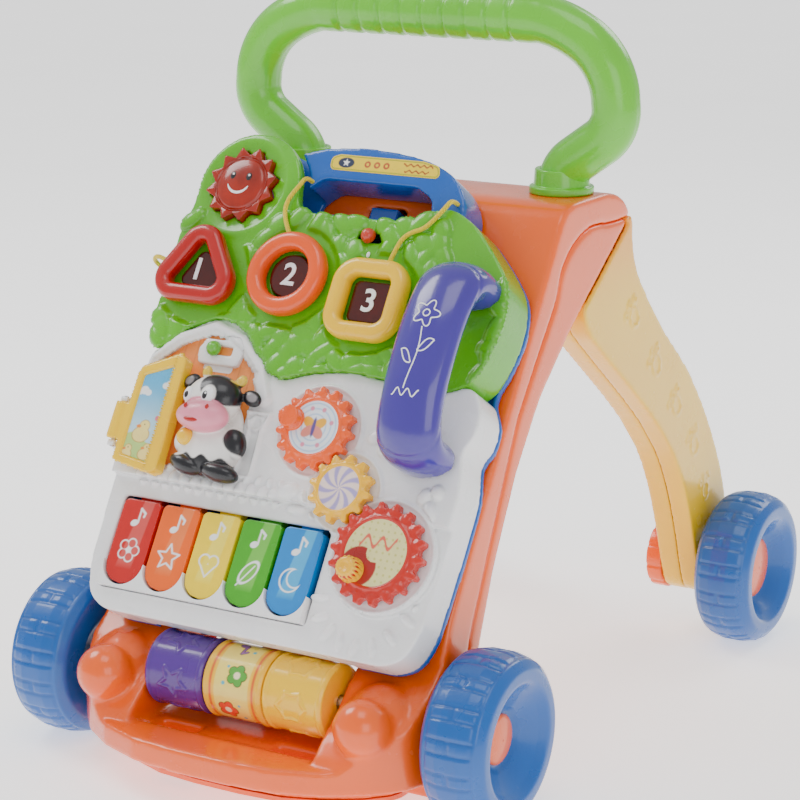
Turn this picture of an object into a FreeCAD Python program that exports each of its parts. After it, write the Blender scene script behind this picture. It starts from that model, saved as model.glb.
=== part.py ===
"""Baby walker: a wedge-shaped body on four wheels with a push hoop and a lift-off activity panel.

Millimetres, +Z up, +X to the walker's right, +Y from the panel face towards the child.
Walker frame: the front axle's line is Y = 0, the floor is Z = 0. Panel frame: p across,
q up the leaning face, n straight out of it. Both are placed from the spreadsheet "dims".
"""
import FreeCAD, Part
import math
import os

V = FreeCAD.Vector
X_AXIS, Y_AXIS, Z_AXIS = V(1, 0, 0), V(0, 1, 0), V(0, 0, 1)

DIMENSIONS = {
    # placement of the two frames
    "axle_y": -178.2, "panel_foot_z": 113.3, "panel_lean": 31.7,
    # body
    "body_width": 250, "wall": 3, "window_width": 136, "lip_height": 40, "ground_gap": 14,
    "foot_step": 10, "cover_thick": 3,
    "dome_large": 24, "dome_small": 18, "dome_x": 95, "screw_head": 3, "screw_shank": 1.5,
    # wheels and axles
    "track_half": 153, "wheel_base": 388, "front_radius": 53.4, "front_width": 44,
    "rear_radius": 54.4, "rear_width": 42, "pin_radius": 4, "running_gap": 0.05,
    "front_cap_radius": 15.9, "rear_cap_radius": 21.7, "cap_thick": 2.6, "cap_offset": 5.6,
    # legs and speed knobs
    "leg_inner": 96, "leg_width": 30, "foot_radius": 25.5, "knob_width": 11.7, "side_gap": 0.3,
    "leg_boss": 9, "front_pin_start": 78, "rear_pin_start": 85,
    # push handle
    "tube_radius": 16.3, "tube_wall": 2.6, "collar_radius": 21, "collar_height": 5,
    "handle_y": 192, "shoulder_z": 351, "collar_x": 98,
    # rollers
    "roller_radius": 24, "roller_length": 42.9, "roller_pitch": 43.8, "roller_y": -26,
    "roller_z": 67, "roller_pin_half": 74,
    # panel shells, heights along n
    "case_back": 1, "case_top": 6, "white_low": 30, "white_high": 36, "green_top": 38,
    "carry_front": 30,
    # keys
    "key_width": 28, "key_pitch": 30.4, "key_first": -93.5, "key_low": -14, "key_high": 41,
    "key_bottom": 24, "key_top": 33.5, "key_rod_q": 47, "key_rod_n": 21, "key_rod_radius": 2,
    # gears
    "gear_module": 3.4, "gear_bottom": 37.5, "gear_thick": 7, "gear_post_radius": 5,
    "gear_a_p": 20.2, "gear_a_q": 102.2, "gear_b_p": 49.9, "gear_b_q": 67.2,
    "gear_c_p": 87, "gear_c_q": 31.9,
    # shape pieces and number buttons
    "ring_bottom": 38.5, "ring_height": 13,
    "ring_one_p": -97, "ring_two_p": -31, "ring_three_p": 31.5,
    "ring_one_q": 193, "ring_two_q": 198.5, "ring_three_q": 187.5,
    "button_top": 42, "button_bottom": 28, "button_radius": 14.5,
    # handset
    "handset_p": 98, "handset_width": 44, "handset_split": 66,
    # small controls
    "knob_radius": 5, "knob_height": 7, "power_p": 16, "power_q": 231, "mode_p": -68,
    "mode_q": 146, "sun_p": -88, "sun_q": 257, "sun_radius": 26, "disc_shift": 4,
    "disc_radius": 38,
    # barn door and calf figure
    "door_p": -125, "door_n": 41, "door_thick": 5, "door_open": 0, "pin_small": 1.5,
    # cords
    "cord_radius": 1.5,
}

doc = FreeCAD.newDocument("baby_walker")
sheet = doc.addObject("Spreadsheet::Sheet", "dims")
for row, (alias, number) in enumerate(DIMENSIONS.items(), start=1):
    sheet.set(f"A{row}", alias)
    sheet.set(f"B{row}", str(number))
    sheet.setAlias(f"B{row}", alias)
doc.recompute()

SUBPARTS = []
counter = 0


def size(alias):
    """A driving dimension, read back from the sheet."""
    return float(sheet.get(alias))


def add(kind, hint):
    """A helper object of the document with a numbered name."""
    global counter
    counter += 1
    return doc.addObject(kind, f"{hint}_{counter:03d}")


def bind(obj, **rules):
    """Bind properties to sheet cells; a double underscore stands for a dot."""
    for prop, rule in rules.items():
        obj.setExpression(prop.replace("__", "."), rule)
    return obj


def box(low, high):
    """A block between two corners, each coordinate a sheet expression or a number."""
    obj = add("Part::Box", "block")
    names = ("Length", "Width", "Height")
    for axis, name, start, end in zip("xyz", names, low, high):
        obj.setExpression(name, f"({end}) - ({start})")
        obj.setExpression(f"Placement.Base.{axis}", str(start))
    return obj


def cylinder(radius, height, base, axis=Z_AXIS):
    """A cylinder from its base point along an axis."""
    obj = add("Part::Cylinder", "round")
    obj.Placement = FreeCAD.Placement(V(0, 0, 0), FreeCAD.Rotation(Z_AXIS, axis))
    bind(obj, Radius=str(radius), Height=str(height))
    for name, start in zip("xyz", base):
        obj.setExpression(f"Placement.Base.{name}", str(start))
    return obj


def sphere(radius, centre):
    """A ball about a centre."""
    obj = bind(add("Part::Sphere", "ball"), Radius=str(radius))
    for name, start in zip("xyz", centre):
        obj.setExpression(f"Placement.Base.{name}", str(start))
    return obj


def loop_edges(points, rounding=0.0):
    """Edges of a closed outline; every corner is rounded by an arc where rounding is given."""
    corners = [V(x, y, 0) for x, y in points]
    count = len(corners)
    starts = []
    ends = []
    arcs = []
    for i, here in enumerate(corners):
        before = corners[i - 1] - here
        after = corners[(i + 1) % count] - here
        turn = before.getAngle(after)
        reach = rounding / math.tan(turn / 2) if rounding else 0.0
        reach = min(reach, 0.45 * before.Length, 0.45 * after.Length)
        first = here + before.normalize() * reach
        last = here + after.normalize() * reach
        radius = reach * math.tan(turn / 2)
        middle = here + (before + after).normalize() * (radius / math.sin(turn / 2) - radius)
        starts.append(first)
        ends.append(last)
        arcs.append(Part.Arc(first, middle, last) if reach > 1e-6 else None)
    edges = []
    for i in range(count):
        if arcs[i]:
            edges.append(arcs[i])
        edges.append(Part.LineSegment(ends[i], starts[(i + 1) % count]))
    return edges


def sketch(points, rounding, rotation, offset):
    """A closed sketch on a plane given by its rotation and offset along its normal."""
    obj = add("Sketcher::SketchObject", "outline")
    obj.addGeometry(loop_edges(points, rounding), False)
    normal = rotation.multVec(Z_AXIS)
    obj.Placement = FreeCAD.Placement(normal * offset, rotation)
    return obj


SIDE_PLANE = FreeCAD.Rotation(Y_AXIS, Z_AXIS, X_AXIS, "XYZ")
FLAT_PLANE = FreeCAD.Rotation()


def prism(points, low, high, rounding=0.0, plane=FLAT_PLANE):
    """An outline pushed from one level to another along its plane's normal."""
    base = sketch(points, rounding, plane, 0)
    obj = add("Part::Extrusion", "prism")
    obj.Base = base
    obj.DirMode = "Custom"
    obj.Dir = plane.multVec(Z_AXIS)
    obj.Solid = True
    obj.setExpression("LengthFwd", str(high))
    obj.setExpression("LengthRev", f"-({low})")
    return obj


def revolve(points, centre):
    """A half section of (x, radius) points turned about the X direction through centre."""
    base = sketch(points, 0, FLAT_PLANE, 0)
    turned = add("Part::Revolution", "turned")
    turned.Source = base
    turned.Axis = X_AXIS
    turned.Base = V(0, 0, 0)
    turned.Angle = 360
    turned.Solid = True
    moved = add("Part::Compound", "moved")
    moved.Links = [turned]
    for name, start in zip("xyz", centre):
        moved.setExpression(f"Placement.Base.{name}", str(start))
    return moved


def fuse(*parts):
    """One solid made of several."""
    obj = add("Part::MultiFuse", "joined")
    obj.Shapes = list(parts)
    obj.Refine = True
    return obj


def cut(base, *tools):
    """A solid less one or more tools."""
    obj = add("Part::Cut", "less")
    obj.Base = base
    obj.Tool = tools[0] if len(tools) == 1 else fuse(*tools)
    return obj


def common(first, second):
    """What two solids share."""
    obj = add("Part::Common", "shared")
    obj.Base = first
    obj.Tool = second
    return obj


def solid(shape, hint):
    """A feature whose shape comes from Part's own functions."""
    obj = add("Part::Feature", hint)
    obj.Shape = shape
    return obj


def inset(points, distance):
    """The outline moved inwards by a distance, whichever way round its points run."""
    count = len(points)
    area = sum(points[i - 1][0] * points[i][1] - points[i][0] * points[i - 1][1]
               for i in range(count))
    distance = math.copysign(distance, area)
    lines = []
    for i in range(count):
        start = V(*points[i], 0)
        end = V(*points[(i + 1) % count], 0)
        along = (end - start).normalize()
        lines.append((start + V(-along.y, along.x, 0) * distance, along))
    result = []
    for i in range(count):
        (a, u), (b, w) = lines[i - 1], lines[i]
        cross = u.x * w.y - u.y * w.x
        if abs(cross) < 1e-6:
            result.append((b.x, b.y))
            continue
        step = ((b.x - a.x) * w.y - (b.y - a.y) * w.x) / cross
        result.append((a.x + u.x * step, a.y + u.y * step))
    return result


def node(label, *parts, panel=False):
    """Name a sub-part and place it in the walker's or the panel's frame."""
    obj = doc.addObject("Part::Compound", label)
    obj.Label = label
    obj.Links = list(parts)
    angle = 90 - size("panel_lean") if panel else 0
    obj.Placement = FreeCAD.Placement(V(0, 0, 0), FreeCAD.Rotation(X_AXIS, angle))
    if panel:
        bind(obj, Placement__Rotation__Angle="90 - dims.panel_lean")
        bind(obj, Placement__Base__z="dims.panel_foot_z")
    bind(obj, Placement__Base__y="dims.axle_y")
    SUBPARTS.append(obj)
    return obj


# --- side profiles of the body, (Y, Z) in the walker frame ---
FRONT_PROFILE = [
    (-5, 8), (22, 8), (22, 60), (25.5, 97), (46, 140), (87, 227), (115, 264), (136.5, 291.5),
    (142, 310), (157, 324), (181, 333), (220, 330), (241, 331), (235, 340), (222, 348),
    (206, 351), (156, 351), (145, 347), (137, 335), (-5, 105.2),
]
REAR_PROFILE = [
    (22, 8), (30, 8), (32, 60), (39, 89.5), (58, 138.5), (86, 192), (116, 233), (154, 267),
    (241, 331), (220, 330), (181, 333), (157, 324), (142, 310), (136.5, 291.5), (115, 264),
    (87, 227), (46, 140), (25.5, 97), (22, 60),
]
HALF = "dims.body_width / 2"
WINDOW_HALF = "dims.window_width / 2"
CLEAR = 200         # longer than any feature that a tool has to pass through
BASE_BACK = 22      # Y of the base's rear edge in the walker frame
FOOT_INSET = 20     # how far the base's foot stands in from its rim
BODY_X = 125        # half width of the body
WINDOW_X = 68       # half width of the roller window
DRUM_GAP = 1.5      # room between the drums and the panel's lower edge
SMOOTH = 1000       # a rounding so large that each corner takes all the room it has
BODY_ROUNDING = 90  # rounding of the body's side profiles
BASE_ROUNDING = 14  # rounding of the base and its cheeks
BASE_RIGHT = [(18, -86), (50, -83), (80, -72), (104, -56), (120, -38), (BODY_X, -22),
              (BODY_X, BASE_BACK)]
BASE_PLAN = BASE_RIGHT + [(-x, y) for x, y in reversed(BASE_RIGHT)]
CHEEK_PROFILE = [(-66, 24), (-66, 42), (-54, 52), (-38, 64), (-24, 78), (-10, 88), (-5, 94),
                 (22, 94), (22, 24)]
TROUGH = [(-72, 60), (-60, 41), (-50, 37), (8, 37), (8, 60)]
LEG_PROFILE = [
    (170, 281), (241, 345), (243, 300), (285, 252), (338, 208), (371, 169), (396, 130),
    (411, 96), (413.5, 54.4), (406, 36.4), (388, 28.9), (370, 36.4), (362.5, 54.4),
    (352, 85), (338, 117), (320, 147), (292, 176), (256, 205), (214, 236), (180, 262),
]


def body_halves():
    """The orange front shell with its base and roller window, and the rear shell behind it."""
    outer = prism(FRONT_PROFILE, f"-{HALF}", HALF, BODY_ROUNDING, SIDE_PLANE)
    hollow = prism(inset(FRONT_PROFILE, size("wall")), f"-{HALF} + dims.wall", f"{HALF} - dims.wall",
                   BODY_ROUNDING, SIDE_PLANE)
    step = "dims.ground_gap + dims.foot_step"
    rim = prism(BASE_PLAN, step, "dims.lip_height", BASE_ROUNDING)
    foot = prism(inset(BASE_PLAN, FOOT_INSET), "dims.ground_gap", step, 6)
    above = prism(BASE_PLAN, step, CLEAR, BASE_ROUNDING)
    cheeks = []
    for side in (-1, 1):
        inner, edge = sorted((side * WINDOW_X, side * BODY_X))
        cheek = prism(CHEEK_PROFILE, inner, edge, BASE_ROUNDING, SIDE_PLANE)
        cheeks.append(common(cheek, above))
        cheeks.append(box((inner, -20, "dims.ground_gap"), (edge, BASE_BACK, step)))
        for ball, place in (("dims.dome_large", (-24, 60)), ("dims.dome_small", (-50, 64))):
            keep = box((inner, -80, 30), (edge, BASE_BACK, 110))
            cheeks.append(common(sphere(ball, (f"{side} * dims.dome_x", *place)), keep))
    trough = prism(TROUGH, f"-{WINDOW_HALF}", WINDOW_HALF, 10, SIDE_PLANE)
    shell = cut(fuse(cut(outer, hollow), rim, foot, *cheeks), trough, roller_window(), tab_slot(),
                cylinder("dims.pin_radius", "2 * dims.roller_pin_half",
                         ("-dims.roller_pin_half", "dims.roller_y", "dims.roller_z"), X_AXIS),
                axle_hole("dims.front_pin_start"), axle_hole(f"-{HALF}"), base_inside(),
                body_screws("base"))
    node("body_front_shell", shell)
    rear = cut(prism(REAR_PROFILE, f"-{HALF}", HALF, BODY_ROUNDING, SIDE_PLANE),
               prism(inset(REAR_PROFILE, size("wall")), f"-{HALF} + dims.wall",
                     f"{HALF} - dims.wall", BODY_ROUNDING, SIDE_PLANE),
               roller_window(), body_screws("rear"))
    node("body_rear_shell", rear)


def roller_window():
    """The window the rollers turn in, with two openings at the back and two slits below."""
    tools = [box((f"-{WINDOW_HALF}", -61, 41), (WINDOW_HALF, 8, 97))]
    for side in (-1, 1):
        near, far = sorted((side * 24, side * (WINDOW_X - 2)))
        tools.append(box((near, -10, 58), (far, 45, 97)))
        tools.append(base_slit(side))
    return fuse(*tools)


def base_slit(side):
    """A slit through the base under the front of the rollers."""
    near, far = sorted((side * 28, side * 58))
    return box((near, -52, 0), (far, -38, 50))


def base_inside():
    """The hollow under the base, closed by the base cover."""
    plan = inset(BASE_PLAN, FOOT_INSET + 4)
    hollow = common(prism(plan, "dims.ground_gap", "dims.lip_height - 3 * dims.wall"),
                    box((-76, -80, 0), (76, 20, 60)))
    walls = [box((side * 43 - 18, -55, 0), (side * 43 + 18, -35, 60)) for side in (-1, 1)]
    return cut(hollow, *walls)


def tab_slot():
    """The slot in the leaning face for the panel's release tab."""
    slot = box((-12, 247, -12), (12, 266, 6))
    return in_panel(slot)


def in_panel(part):
    """A panel-frame part seen from the walker frame."""
    obj = add("Part::Compound", "leaned")
    obj.Links = [part]
    obj.Placement = FreeCAD.Placement(V(0, 0, 0), FreeCAD.Rotation(X_AXIS, 90 - size("panel_lean")))
    bind(obj, Placement__Rotation__Angle="90 - dims.panel_lean")
    bind(obj, Placement__Base__z="dims.panel_foot_z")
    return obj


def drum_space(grow):
    """The space round the drums, seen from the panel frame."""
    drums = cylinder(f"dims.roller_radius + {grow}", "2 * dims.roller_pin_half",
                     ("-dims.roller_pin_half", "dims.roller_y", "dims.roller_z - dims.panel_foot_z"),
                     X_AXIS)
    obj = add("Part::Compound", "drum_space")
    obj.Links = [drums]
    obj.Placement = FreeCAD.Placement(V(0, 0, 0), FreeCAD.Rotation(V(-1, 0, 0), 90 - size("panel_lean")))
    bind(obj, Placement__Rotation__Angle="90 - dims.panel_lean")
    return obj


def axle_hole(start):
    """A bored seat for a front axle pin through one cheek of the body."""
    return cylinder("dims.pin_radius", f"{HALF} - dims.front_pin_start",
                    (start, 0, "dims.front_radius"), X_AXIS)


def body_screws(kind):
    """Screws: four up through the base cover, or four into the rear shell."""
    places = {
        "rear": [(-112, 120), (112, 120), (-112, 215), (112, 215)],
        "base": [(-90, -18), (90, -18), (-82, -34), (82, -34)],
    }[kind]
    screws = []
    for across, along in places:
        if kind == "base":
            under = "dims.ground_gap - dims.cover_thick"
            screws.append(cylinder("dims.screw_head", "dims.cover_thick", (across, along, under)))
            screws.append(cylinder("dims.screw_shank", 10, (across, along, "dims.ground_gap")))
        else:
            depth = 47 + (along - 120) * 0.585
            screws.append(cylinder("dims.screw_head", 6, (across, depth, along), Y_AXIS))
    return fuse(*screws)


def base_cover():
    """The flat plate under the base, with the roller window and four screw seats."""
    plan = inset(BASE_PLAN, FOOT_INSET + 1)
    plate = common(prism(plan, "dims.ground_gap - dims.cover_thick", "dims.ground_gap", 4),
                   box((-CLEAR, -CLEAR, 0), (CLEAR, -11, CLEAR)))
    node("base_cover", cut(plate, base_slit(-1), base_slit(1), body_screws("base")))
    node("body_screws", body_screws("base"), body_screws("rear"))


def wheel_section(radius, width, cap):
    """Half section of a wheel: rounded tread, deep outer dish, hub face and bore."""
    half = width / 2
    bore = size("pin_radius") + size("running_gap")
    hub = size("cap_offset")
    return [
        (-half + 3, bore), (hub, bore), (hub, cap + 2), (hub + 4, cap + 4),
        (half - 5, radius * 0.58), (half, radius * 0.7), (half, radius * 0.82),
        (half - 3, radius * 0.93), (half - 8, radius * 0.985), (half - 14, radius),
        (-half + 14, radius), (-half + 8, radius * 0.985), (-half + 3, radius * 0.93),
        (-half, radius * 0.82), (-half, radius * 0.45), (-half + 3, radius * 0.3),
    ]


def wheels():
    """Four wheels, their hub caps, and the pins they turn on."""
    pins = []
    for axle in ("front", "rear"):
        radius = size(f"{axle}_radius")
        depth = 0 if axle == "front" else "dims.wheel_base"
        for side, name in ((-1, "left"), (1, "right")):
            centre = (f"{side} * dims.track_half", depth, f"dims.{axle}_radius")
            section = wheel_section(radius, size(f"{axle}_width"), size(f"{axle}_cap_radius"))
            if side < 0:
                section = [(-x, r) for x, r in reversed(section)]
            node(f"wheel_{axle}_{name}", revolve(section, centre))
            start = "dims.track_half + dims.cap_offset"
            if side < 0:
                start = f"-({start}) - dims.cap_thick"
            node(f"hub_cap_{axle}_{name}",
                 cylinder(f"dims.{axle}_cap_radius", "dims.cap_thick",
                          (start, depth, f"dims.{axle}_radius"), X_AXIS))
            inner = f"dims.{axle}_pin_start"
            end = "dims.track_half + dims.cap_offset - 0.4"
            low = inner if side > 0 else f"-({end})"
            pins.append(cylinder("dims.pin_radius", f"({end}) - {inner}",
                                 (low, depth, f"dims.{axle}_radius"), X_AXIS))
    node("axle_pins", *pins)


def legs():
    """Rear legs cut flush with the body, bored for their axle pins, and the speed knobs."""
    for side, name in ((-1, "left"), (1, "right")):
        low, high = "dims.leg_inner", "dims.leg_inner + dims.leg_width"
        if side < 0:
            low, high = f"-({high})", f"-({low})"
        raw = prism(LEG_PROFILE, low, high, SMOOTH, SIDE_PLANE)
        outer = prism(REAR_PROFILE, f"-{CLEAR}", CLEAR, BODY_ROUNDING, SIDE_PLANE)
        front = prism(FRONT_PROFILE, f"-{CLEAR}", CLEAR, BODY_ROUNDING, SIDE_PLANE)
        axle = (f"-{CLEAR}", "dims.wheel_base", "dims.rear_radius")
        bore = cylinder("dims.pin_radius", 2 * CLEAR, axle, X_AXIS)
        hollow = prism(inset(LEG_PROFILE, size("wall")), f"{low} + dims.wall",
                       f"{high} - dims.wall", SMOOTH, SIDE_PLANE)
        boss = cylinder("dims.leg_boss", "dims.leg_width - 2", (f"{low} + 1", *axle[1:]), X_AXIS)
        leg = cut(fuse(cut(raw, hollow), boss), outer, front, bore)
        half = f"({low} + {high}) / 2"
        inner_half = box((low, 120, 0), (half, 3 * CLEAR, 2 * CLEAR))
        outer_half = box((half, 120, 0), (high, 3 * CLEAR, 2 * CLEAR))
        if side < 0:
            inner_half, outer_half = outer_half, inner_half
        node(f"leg_{name}_inner", common(leg, inner_half))
        node(f"leg_{name}_outer", common(leg, outer_half))
        start = "dims.leg_inner - dims.side_gap - dims.knob_width"
        if side < 0:
            start = "-dims.leg_inner + dims.side_gap"
        dial = cut(cylinder("dims.foot_radius - 1", "dims.knob_width", (start, *axle[1:]), X_AXIS),
                   cylinder("dims.pin_radius + dims.running_gap", 2 * CLEAR, axle, X_AXIS))
        node(f"speed_knob_{name}", dial)


def hoop_path(points, radii):
    """A flat wire of straight runs and tangent arcs in the plane Y = 0."""
    corners = [V(x, 0, z) for x, z in points]
    edges = []
    last = corners[0]
    for i in range(1, len(corners) - 1):
        before = (corners[i - 1] - corners[i]).normalize()
        after = (corners[i + 1] - corners[i]).normalize()
        half = before.getAngle(after) / 2
        reach = radii[i - 1] / math.tan(half)
        first = corners[i] + before * reach
        end = corners[i] + after * reach
        gap = radii[i - 1] / math.sin(half) - radii[i - 1]
        middle = corners[i] + (before + after).normalize() * gap
        if (first - last).Length > 1e-3:
            edges.append(Part.LineSegment(last, first).toShape())
        edges.append(Part.Arc(first, middle, end).toShape())
        last = end
    edges.append(Part.LineSegment(last, corners[-1]).toShape())
    return Part.Wire(edges)


def push_handle():
    """The green hoop: two half shells split on its own plane, each with half of both collars."""
    collar_x, top = size("collar_x"), size("shoulder_z")
    right = [(collar_x, top), (collar_x, 366), (137, 394), (133, 438), (92, 462)]
    radii = [22, 25, 48, 78]
    points = right + [(-x, z) for x, z in reversed(right)]
    path = hoop_path(points, radii + list(reversed(radii)))
    outer, inner = size("tube_radius"), size("tube_radius") - size("tube_wall")
    hoops = []
    for radius in (outer, inner):
        ring = Part.Wire(Part.Circle(V(collar_x, 0, top), Z_AXIS, radius).toShape())
        hoops.append(path.makePipeShell([ring], True, False))
    tube = hoops[0].cut(hoops[1])
    collars = [
        Part.makeCylinder(size("collar_radius"), size("collar_height"), V(x, 0, top)).cut(
            Part.makeCylinder(outer - 1, CLEAR, V(x, 0, top - 5)))
        for x in (-collar_x, collar_x)]
    whole = tube.fuse(collars).removeSplitter()
    for name, low in (("front", -CLEAR), ("rear", 0)):
        half = whole.common(Part.makeBox(2 * CLEAR, CLEAR, CLEAR, V(-CLEAR, low, top - 5)))
        piece = solid(half, "hoop_half")
        piece.Placement = FreeCAD.Placement(V(0, size("handle_y"), 0), FreeCAD.Rotation())
        bind(piece, Placement__Base__y="dims.handle_y")
        node(f"push_handle_{name}", piece)


def rollers():
    """Three drums on one pin across the roller window."""
    centre_y, centre_z = "dims.roller_y", "dims.roller_z"
    node("roller_pin", cylinder("dims.pin_radius", "2 * dims.roller_pin_half",
                                ("-dims.roller_pin_half", centre_y, centre_z), X_AXIS))
    half = size("roller_length") / 2
    radius = size("roller_radius")
    bore = size("pin_radius") + size("running_gap")
    section = [(-half, bore), (half, bore), (half, radius - 1.5), (half - 1.5, radius),
               (-half + 1.5, radius), (-half, radius - 1.5)]
    cavity = [(-half + 3, bore + 3), (half - 3, bore + 3), (half - 3, radius - 3),
              (-half + 3, radius - 3)]
    for step, name in ((-1, "purple"), (0, "picture"), (1, "yellow")):
        centre = (f"{step} * dims.roller_pitch", centre_y, centre_z)
        node(f"roller_{name}", cut(revolve(section, centre), revolve(cavity, centre)))


def release_tab():
    """The sprung tab that holds the panel in the body's face."""
    node("panel_release_tab", box((-10, 255, -9), (10, 264, 5)), panel=True)


# --- the activity panel, all in the panel frame (p, q) ---
RIGHT_EDGE = [(104, -32), (117, -25), (123, -8), (125, 35), (126, 80), (120, 103), (126, 114),
              (126, 128), (116, 146), (122, 162), (126, 186), (122, 210), (108, 227)]
TOP_EDGE = [(86, 248), (66, 257), (48, 250), (36, 244), (-34, 244), (-43, 248)]
LEFT_EDGE = [(-127, 225), (-126, 190), (-127, 160), (-120, 140), (-124, 112), (-124, 60),
             (-122, -4), (-116, -23), (-103, -31)]
SEAM = [(116, 146), (95, 136), (62, 140), (28, 143), (0, 138), (-20, 130), (-36, 143),
        (-52, 161), (-75, 168), (-96, 158), (-110, 143), (-120, 140)]


def disc_arc(grow, first, last, steps):
    """Points round the disc that carries the sun, between two angles in degrees."""
    radius = size("disc_radius") + grow
    centre = (size("sun_p") + size("disc_shift"), size("sun_q"))
    points = []
    for i in range(steps + 1):
        angle = math.radians(first + (last - first) * i / steps)
        points.append((centre[0] + radius * math.cos(angle), centre[1] + radius * math.sin(angle)))
    return points


def case_outline():
    """The whole panel's edge, anticlockwise from the lower right corner."""
    return RIGHT_EDGE + TOP_EDGE + disc_arc(0, 0, 195, 10) + LEFT_EDGE


def white_outline():
    """The lower shell: the panel's edge up to the seam."""
    return RIGHT_EDGE[:9] + SEAM[1:-1] + LEFT_EDGE[3:]


def green_outline():
    """The upper shell: the panel's edge above the seam."""
    return RIGHT_EDGE[8:] + TOP_EDGE + disc_arc(0, 0, 195, 10) + LEFT_EDGE[:4] + SEAM[-2:0:-1]


CARRY_OUTLINE = [(75, 225), (73, 262), (60, 280), (40, 289), (14, 293.5), (-16, 294.5),
                 (-44, 291.5), (-63, 284), (-74, 268), (-78, 225)]


def carry_handle():
    """The blue carrying arch behind the shells."""
    outer = CARRY_OUTLINE
    opening = [(50, 247.5), (47, 264), (34, 271), (-36, 271), (-46, 262), (-48, 247.5)]
    arch = prism(outer, "dims.case_top", "dims.carry_front", SMOOTH)
    hole = prism(opening, "0", CLEAR, 9)
    low = box((-90, 200, 0), (90, 246, CLEAR))
    return cut(arch, hole, low), hole


def panel_case():
    """The blue back case with its carrying arch, battery door and screws."""
    arch, hole = carry_handle()
    floor = prism(case_outline(), "dims.case_back", "dims.case_top", SMOOTH)
    pad = prism(CARRY_OUTLINE, "dims.case_back", "dims.case_top", SMOOTH)
    tray = prism(inset(case_outline(), size("wall")), "dims.case_top - 2", "dims.case_top + 1",
                 SMOOTH)
    tray = cut(tray, box((-82, 226, 0), (84, 300, 20)))
    disc = prism(disc_arc(2, 0, 360, 24)[:-1], "dims.case_top", CLEAR)
    battery_box = cut(box((-47, 108, "dims.case_top - 2.5"), (2, 177, 24)),
                      box((-45, 110, 0), (0, 175, 22)))
    case = cut(fuse(cut(fuse(floor, pad), tray), cut(arch, disc), battery_box), hole,
               battery_opening(), panel_screws(), drum_space(DRUM_GAP))
    node("panel_back_case", case, panel=True)
    node("battery_door", box((-44.5, 110.5, "dims.case_back + 0.3"),
                             (-0.5, 174.5, "dims.case_back + 2.7")), panel=True)
    node("panel_screws", panel_screws(), panel=True)


def battery_opening():
    """The rectangular opening that the battery door fills."""
    return box((-45, 110, 0), (0, 175, 10))


def panel_screws():
    """Six screws through the back case."""
    places = [(-112, -14), (112, -14), (-112, 92), (108, 92), (-108, 175), (112, 185)]
    return fuse(*[cylinder("dims.screw_head", "dims.case_top - dims.case_back - 2",
                           (p, q, "dims.case_back")) for p, q in places])


BARN = [(-113, 66), (-36, 66), (-36, 132), (-56, 150), (-76, 156), (-98, 146), (-113, 132)]


def panel_shells():
    """The white farm shell, the green leaf shell, the barn wall and the sun lens."""
    step = 56
    outer = cut(prism(white_outline(), "dims.case_top", "dims.white_high", SMOOTH),
                drum_space(DRUM_GAP),
                box((-CLEAR, -CLEAR, "dims.white_low"), (CLEAR, step, CLEAR)))
    inner = cut(prism(inset(white_outline(), size("wall")), "dims.case_top",
                      "dims.white_high - dims.wall", SMOOTH),
                drum_space(f"{DRUM_GAP} + dims.wall"),
                box((-CLEAR, -CLEAR, "dims.white_low - dims.wall"),
                    (CLEAR, f"{step} + dims.wall", CLEAR)))
    boss = cylinder(35, "dims.white_high - dims.white_low + 2",
                    ("dims.gear_c_p", "dims.gear_c_q", "dims.white_low - 2"))
    keys = box((-110.5, -17, 0), (44.5, 43.5, CLEAR))
    barn = prism(BARN, "dims.case_top", CLEAR, 3)
    posts = [cylinder("dims.gear_post_radius", "dims.gear_bottom + 5 - dims.white_high + 1",
                      (f"dims.gear_{g}_p", f"dims.gear_{g}_q", "dims.white_high - 1"))
             for g in "abc"]
    hexagon = shifted([(15, -9), (17, 0), (13, 8), (-13, 8), (-17, 0), (-15, -9)],
                      size("mode_p"), size("mode_q") - 2)
    frame = cut(prism(hexagon, "dims.white_high - 3", "dims.white_high + 2", 3),
                box(("dims.mode_p - 9", "dims.mode_q - 4", 0),
                    ("dims.mode_p + 9", "dims.mode_q + 2", CLEAR)))
    lugs = [box(("dims.door_p - 1", q, 30), ("dims.door_p + 4", q + 4.5, "dims.door_n + 5"))
            for q in (70, 99.5)]
    shell = cut(fuse(cut(outer, inner), boss, *posts, *lugs), keys, barn, inner_space(), door_axle())
    node("panel_white_shell", fuse(shell, frame), panel=True)
    wall = prism(inset(BARN, -5), "dims.white_high - 2 * dims.wall",
                 "dims.white_high - dims.wall")
    node("barn_wall", wall, panel=True)
    green = cut(prism(green_outline(), "dims.case_top", "dims.green_top", SMOOTH),
                prism(inset(green_outline(), size("wall")), "dims.case_top",
                      "dims.green_top - dims.wall", SMOOTH),
                *button_holes(),
                prism(sun_outline(0.4), 30, 50),
                box(("dims.power_p - 9", "dims.power_q - 3", 30),
                    ("dims.power_p + 9", "dims.power_q + 3", 45)),
                carry_space(), inner_space())
    node("panel_green_shell", green, panel=True)
    node("sun_lens", prism(sun_outline(0), 33, 42), panel=True)


def sun_outline(grow):
    """The sun's twelve pointed rays, grown by a distance."""
    points = []
    for i in range(24):
        radius = size("sun_radius") * (1 if i % 2 else 0.8) + grow
        angle = math.radians(15 * i)
        points.append((size("sun_p") + radius * math.cos(angle),
                       size("sun_q") + radius * math.sin(angle)))
    return points


def carry_space():
    """Room in the green shell for the foot of the carrying arch."""
    return box((-79, 245.8, "dims.case_top"), (83, 300, "dims.carry_front + 0.2"))


def inner_space():
    """Room behind both shells, where the seam's walls are cut away for the electronics."""
    return box((-105, 100, 0), (105, 200, 26))


def rounded_triangle(radius):
    """Corner points of an upright triangle."""
    return [(radius * math.cos(math.radians(a)), radius * math.sin(math.radians(a)))
            for a in (-26, 96, 206)]


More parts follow.
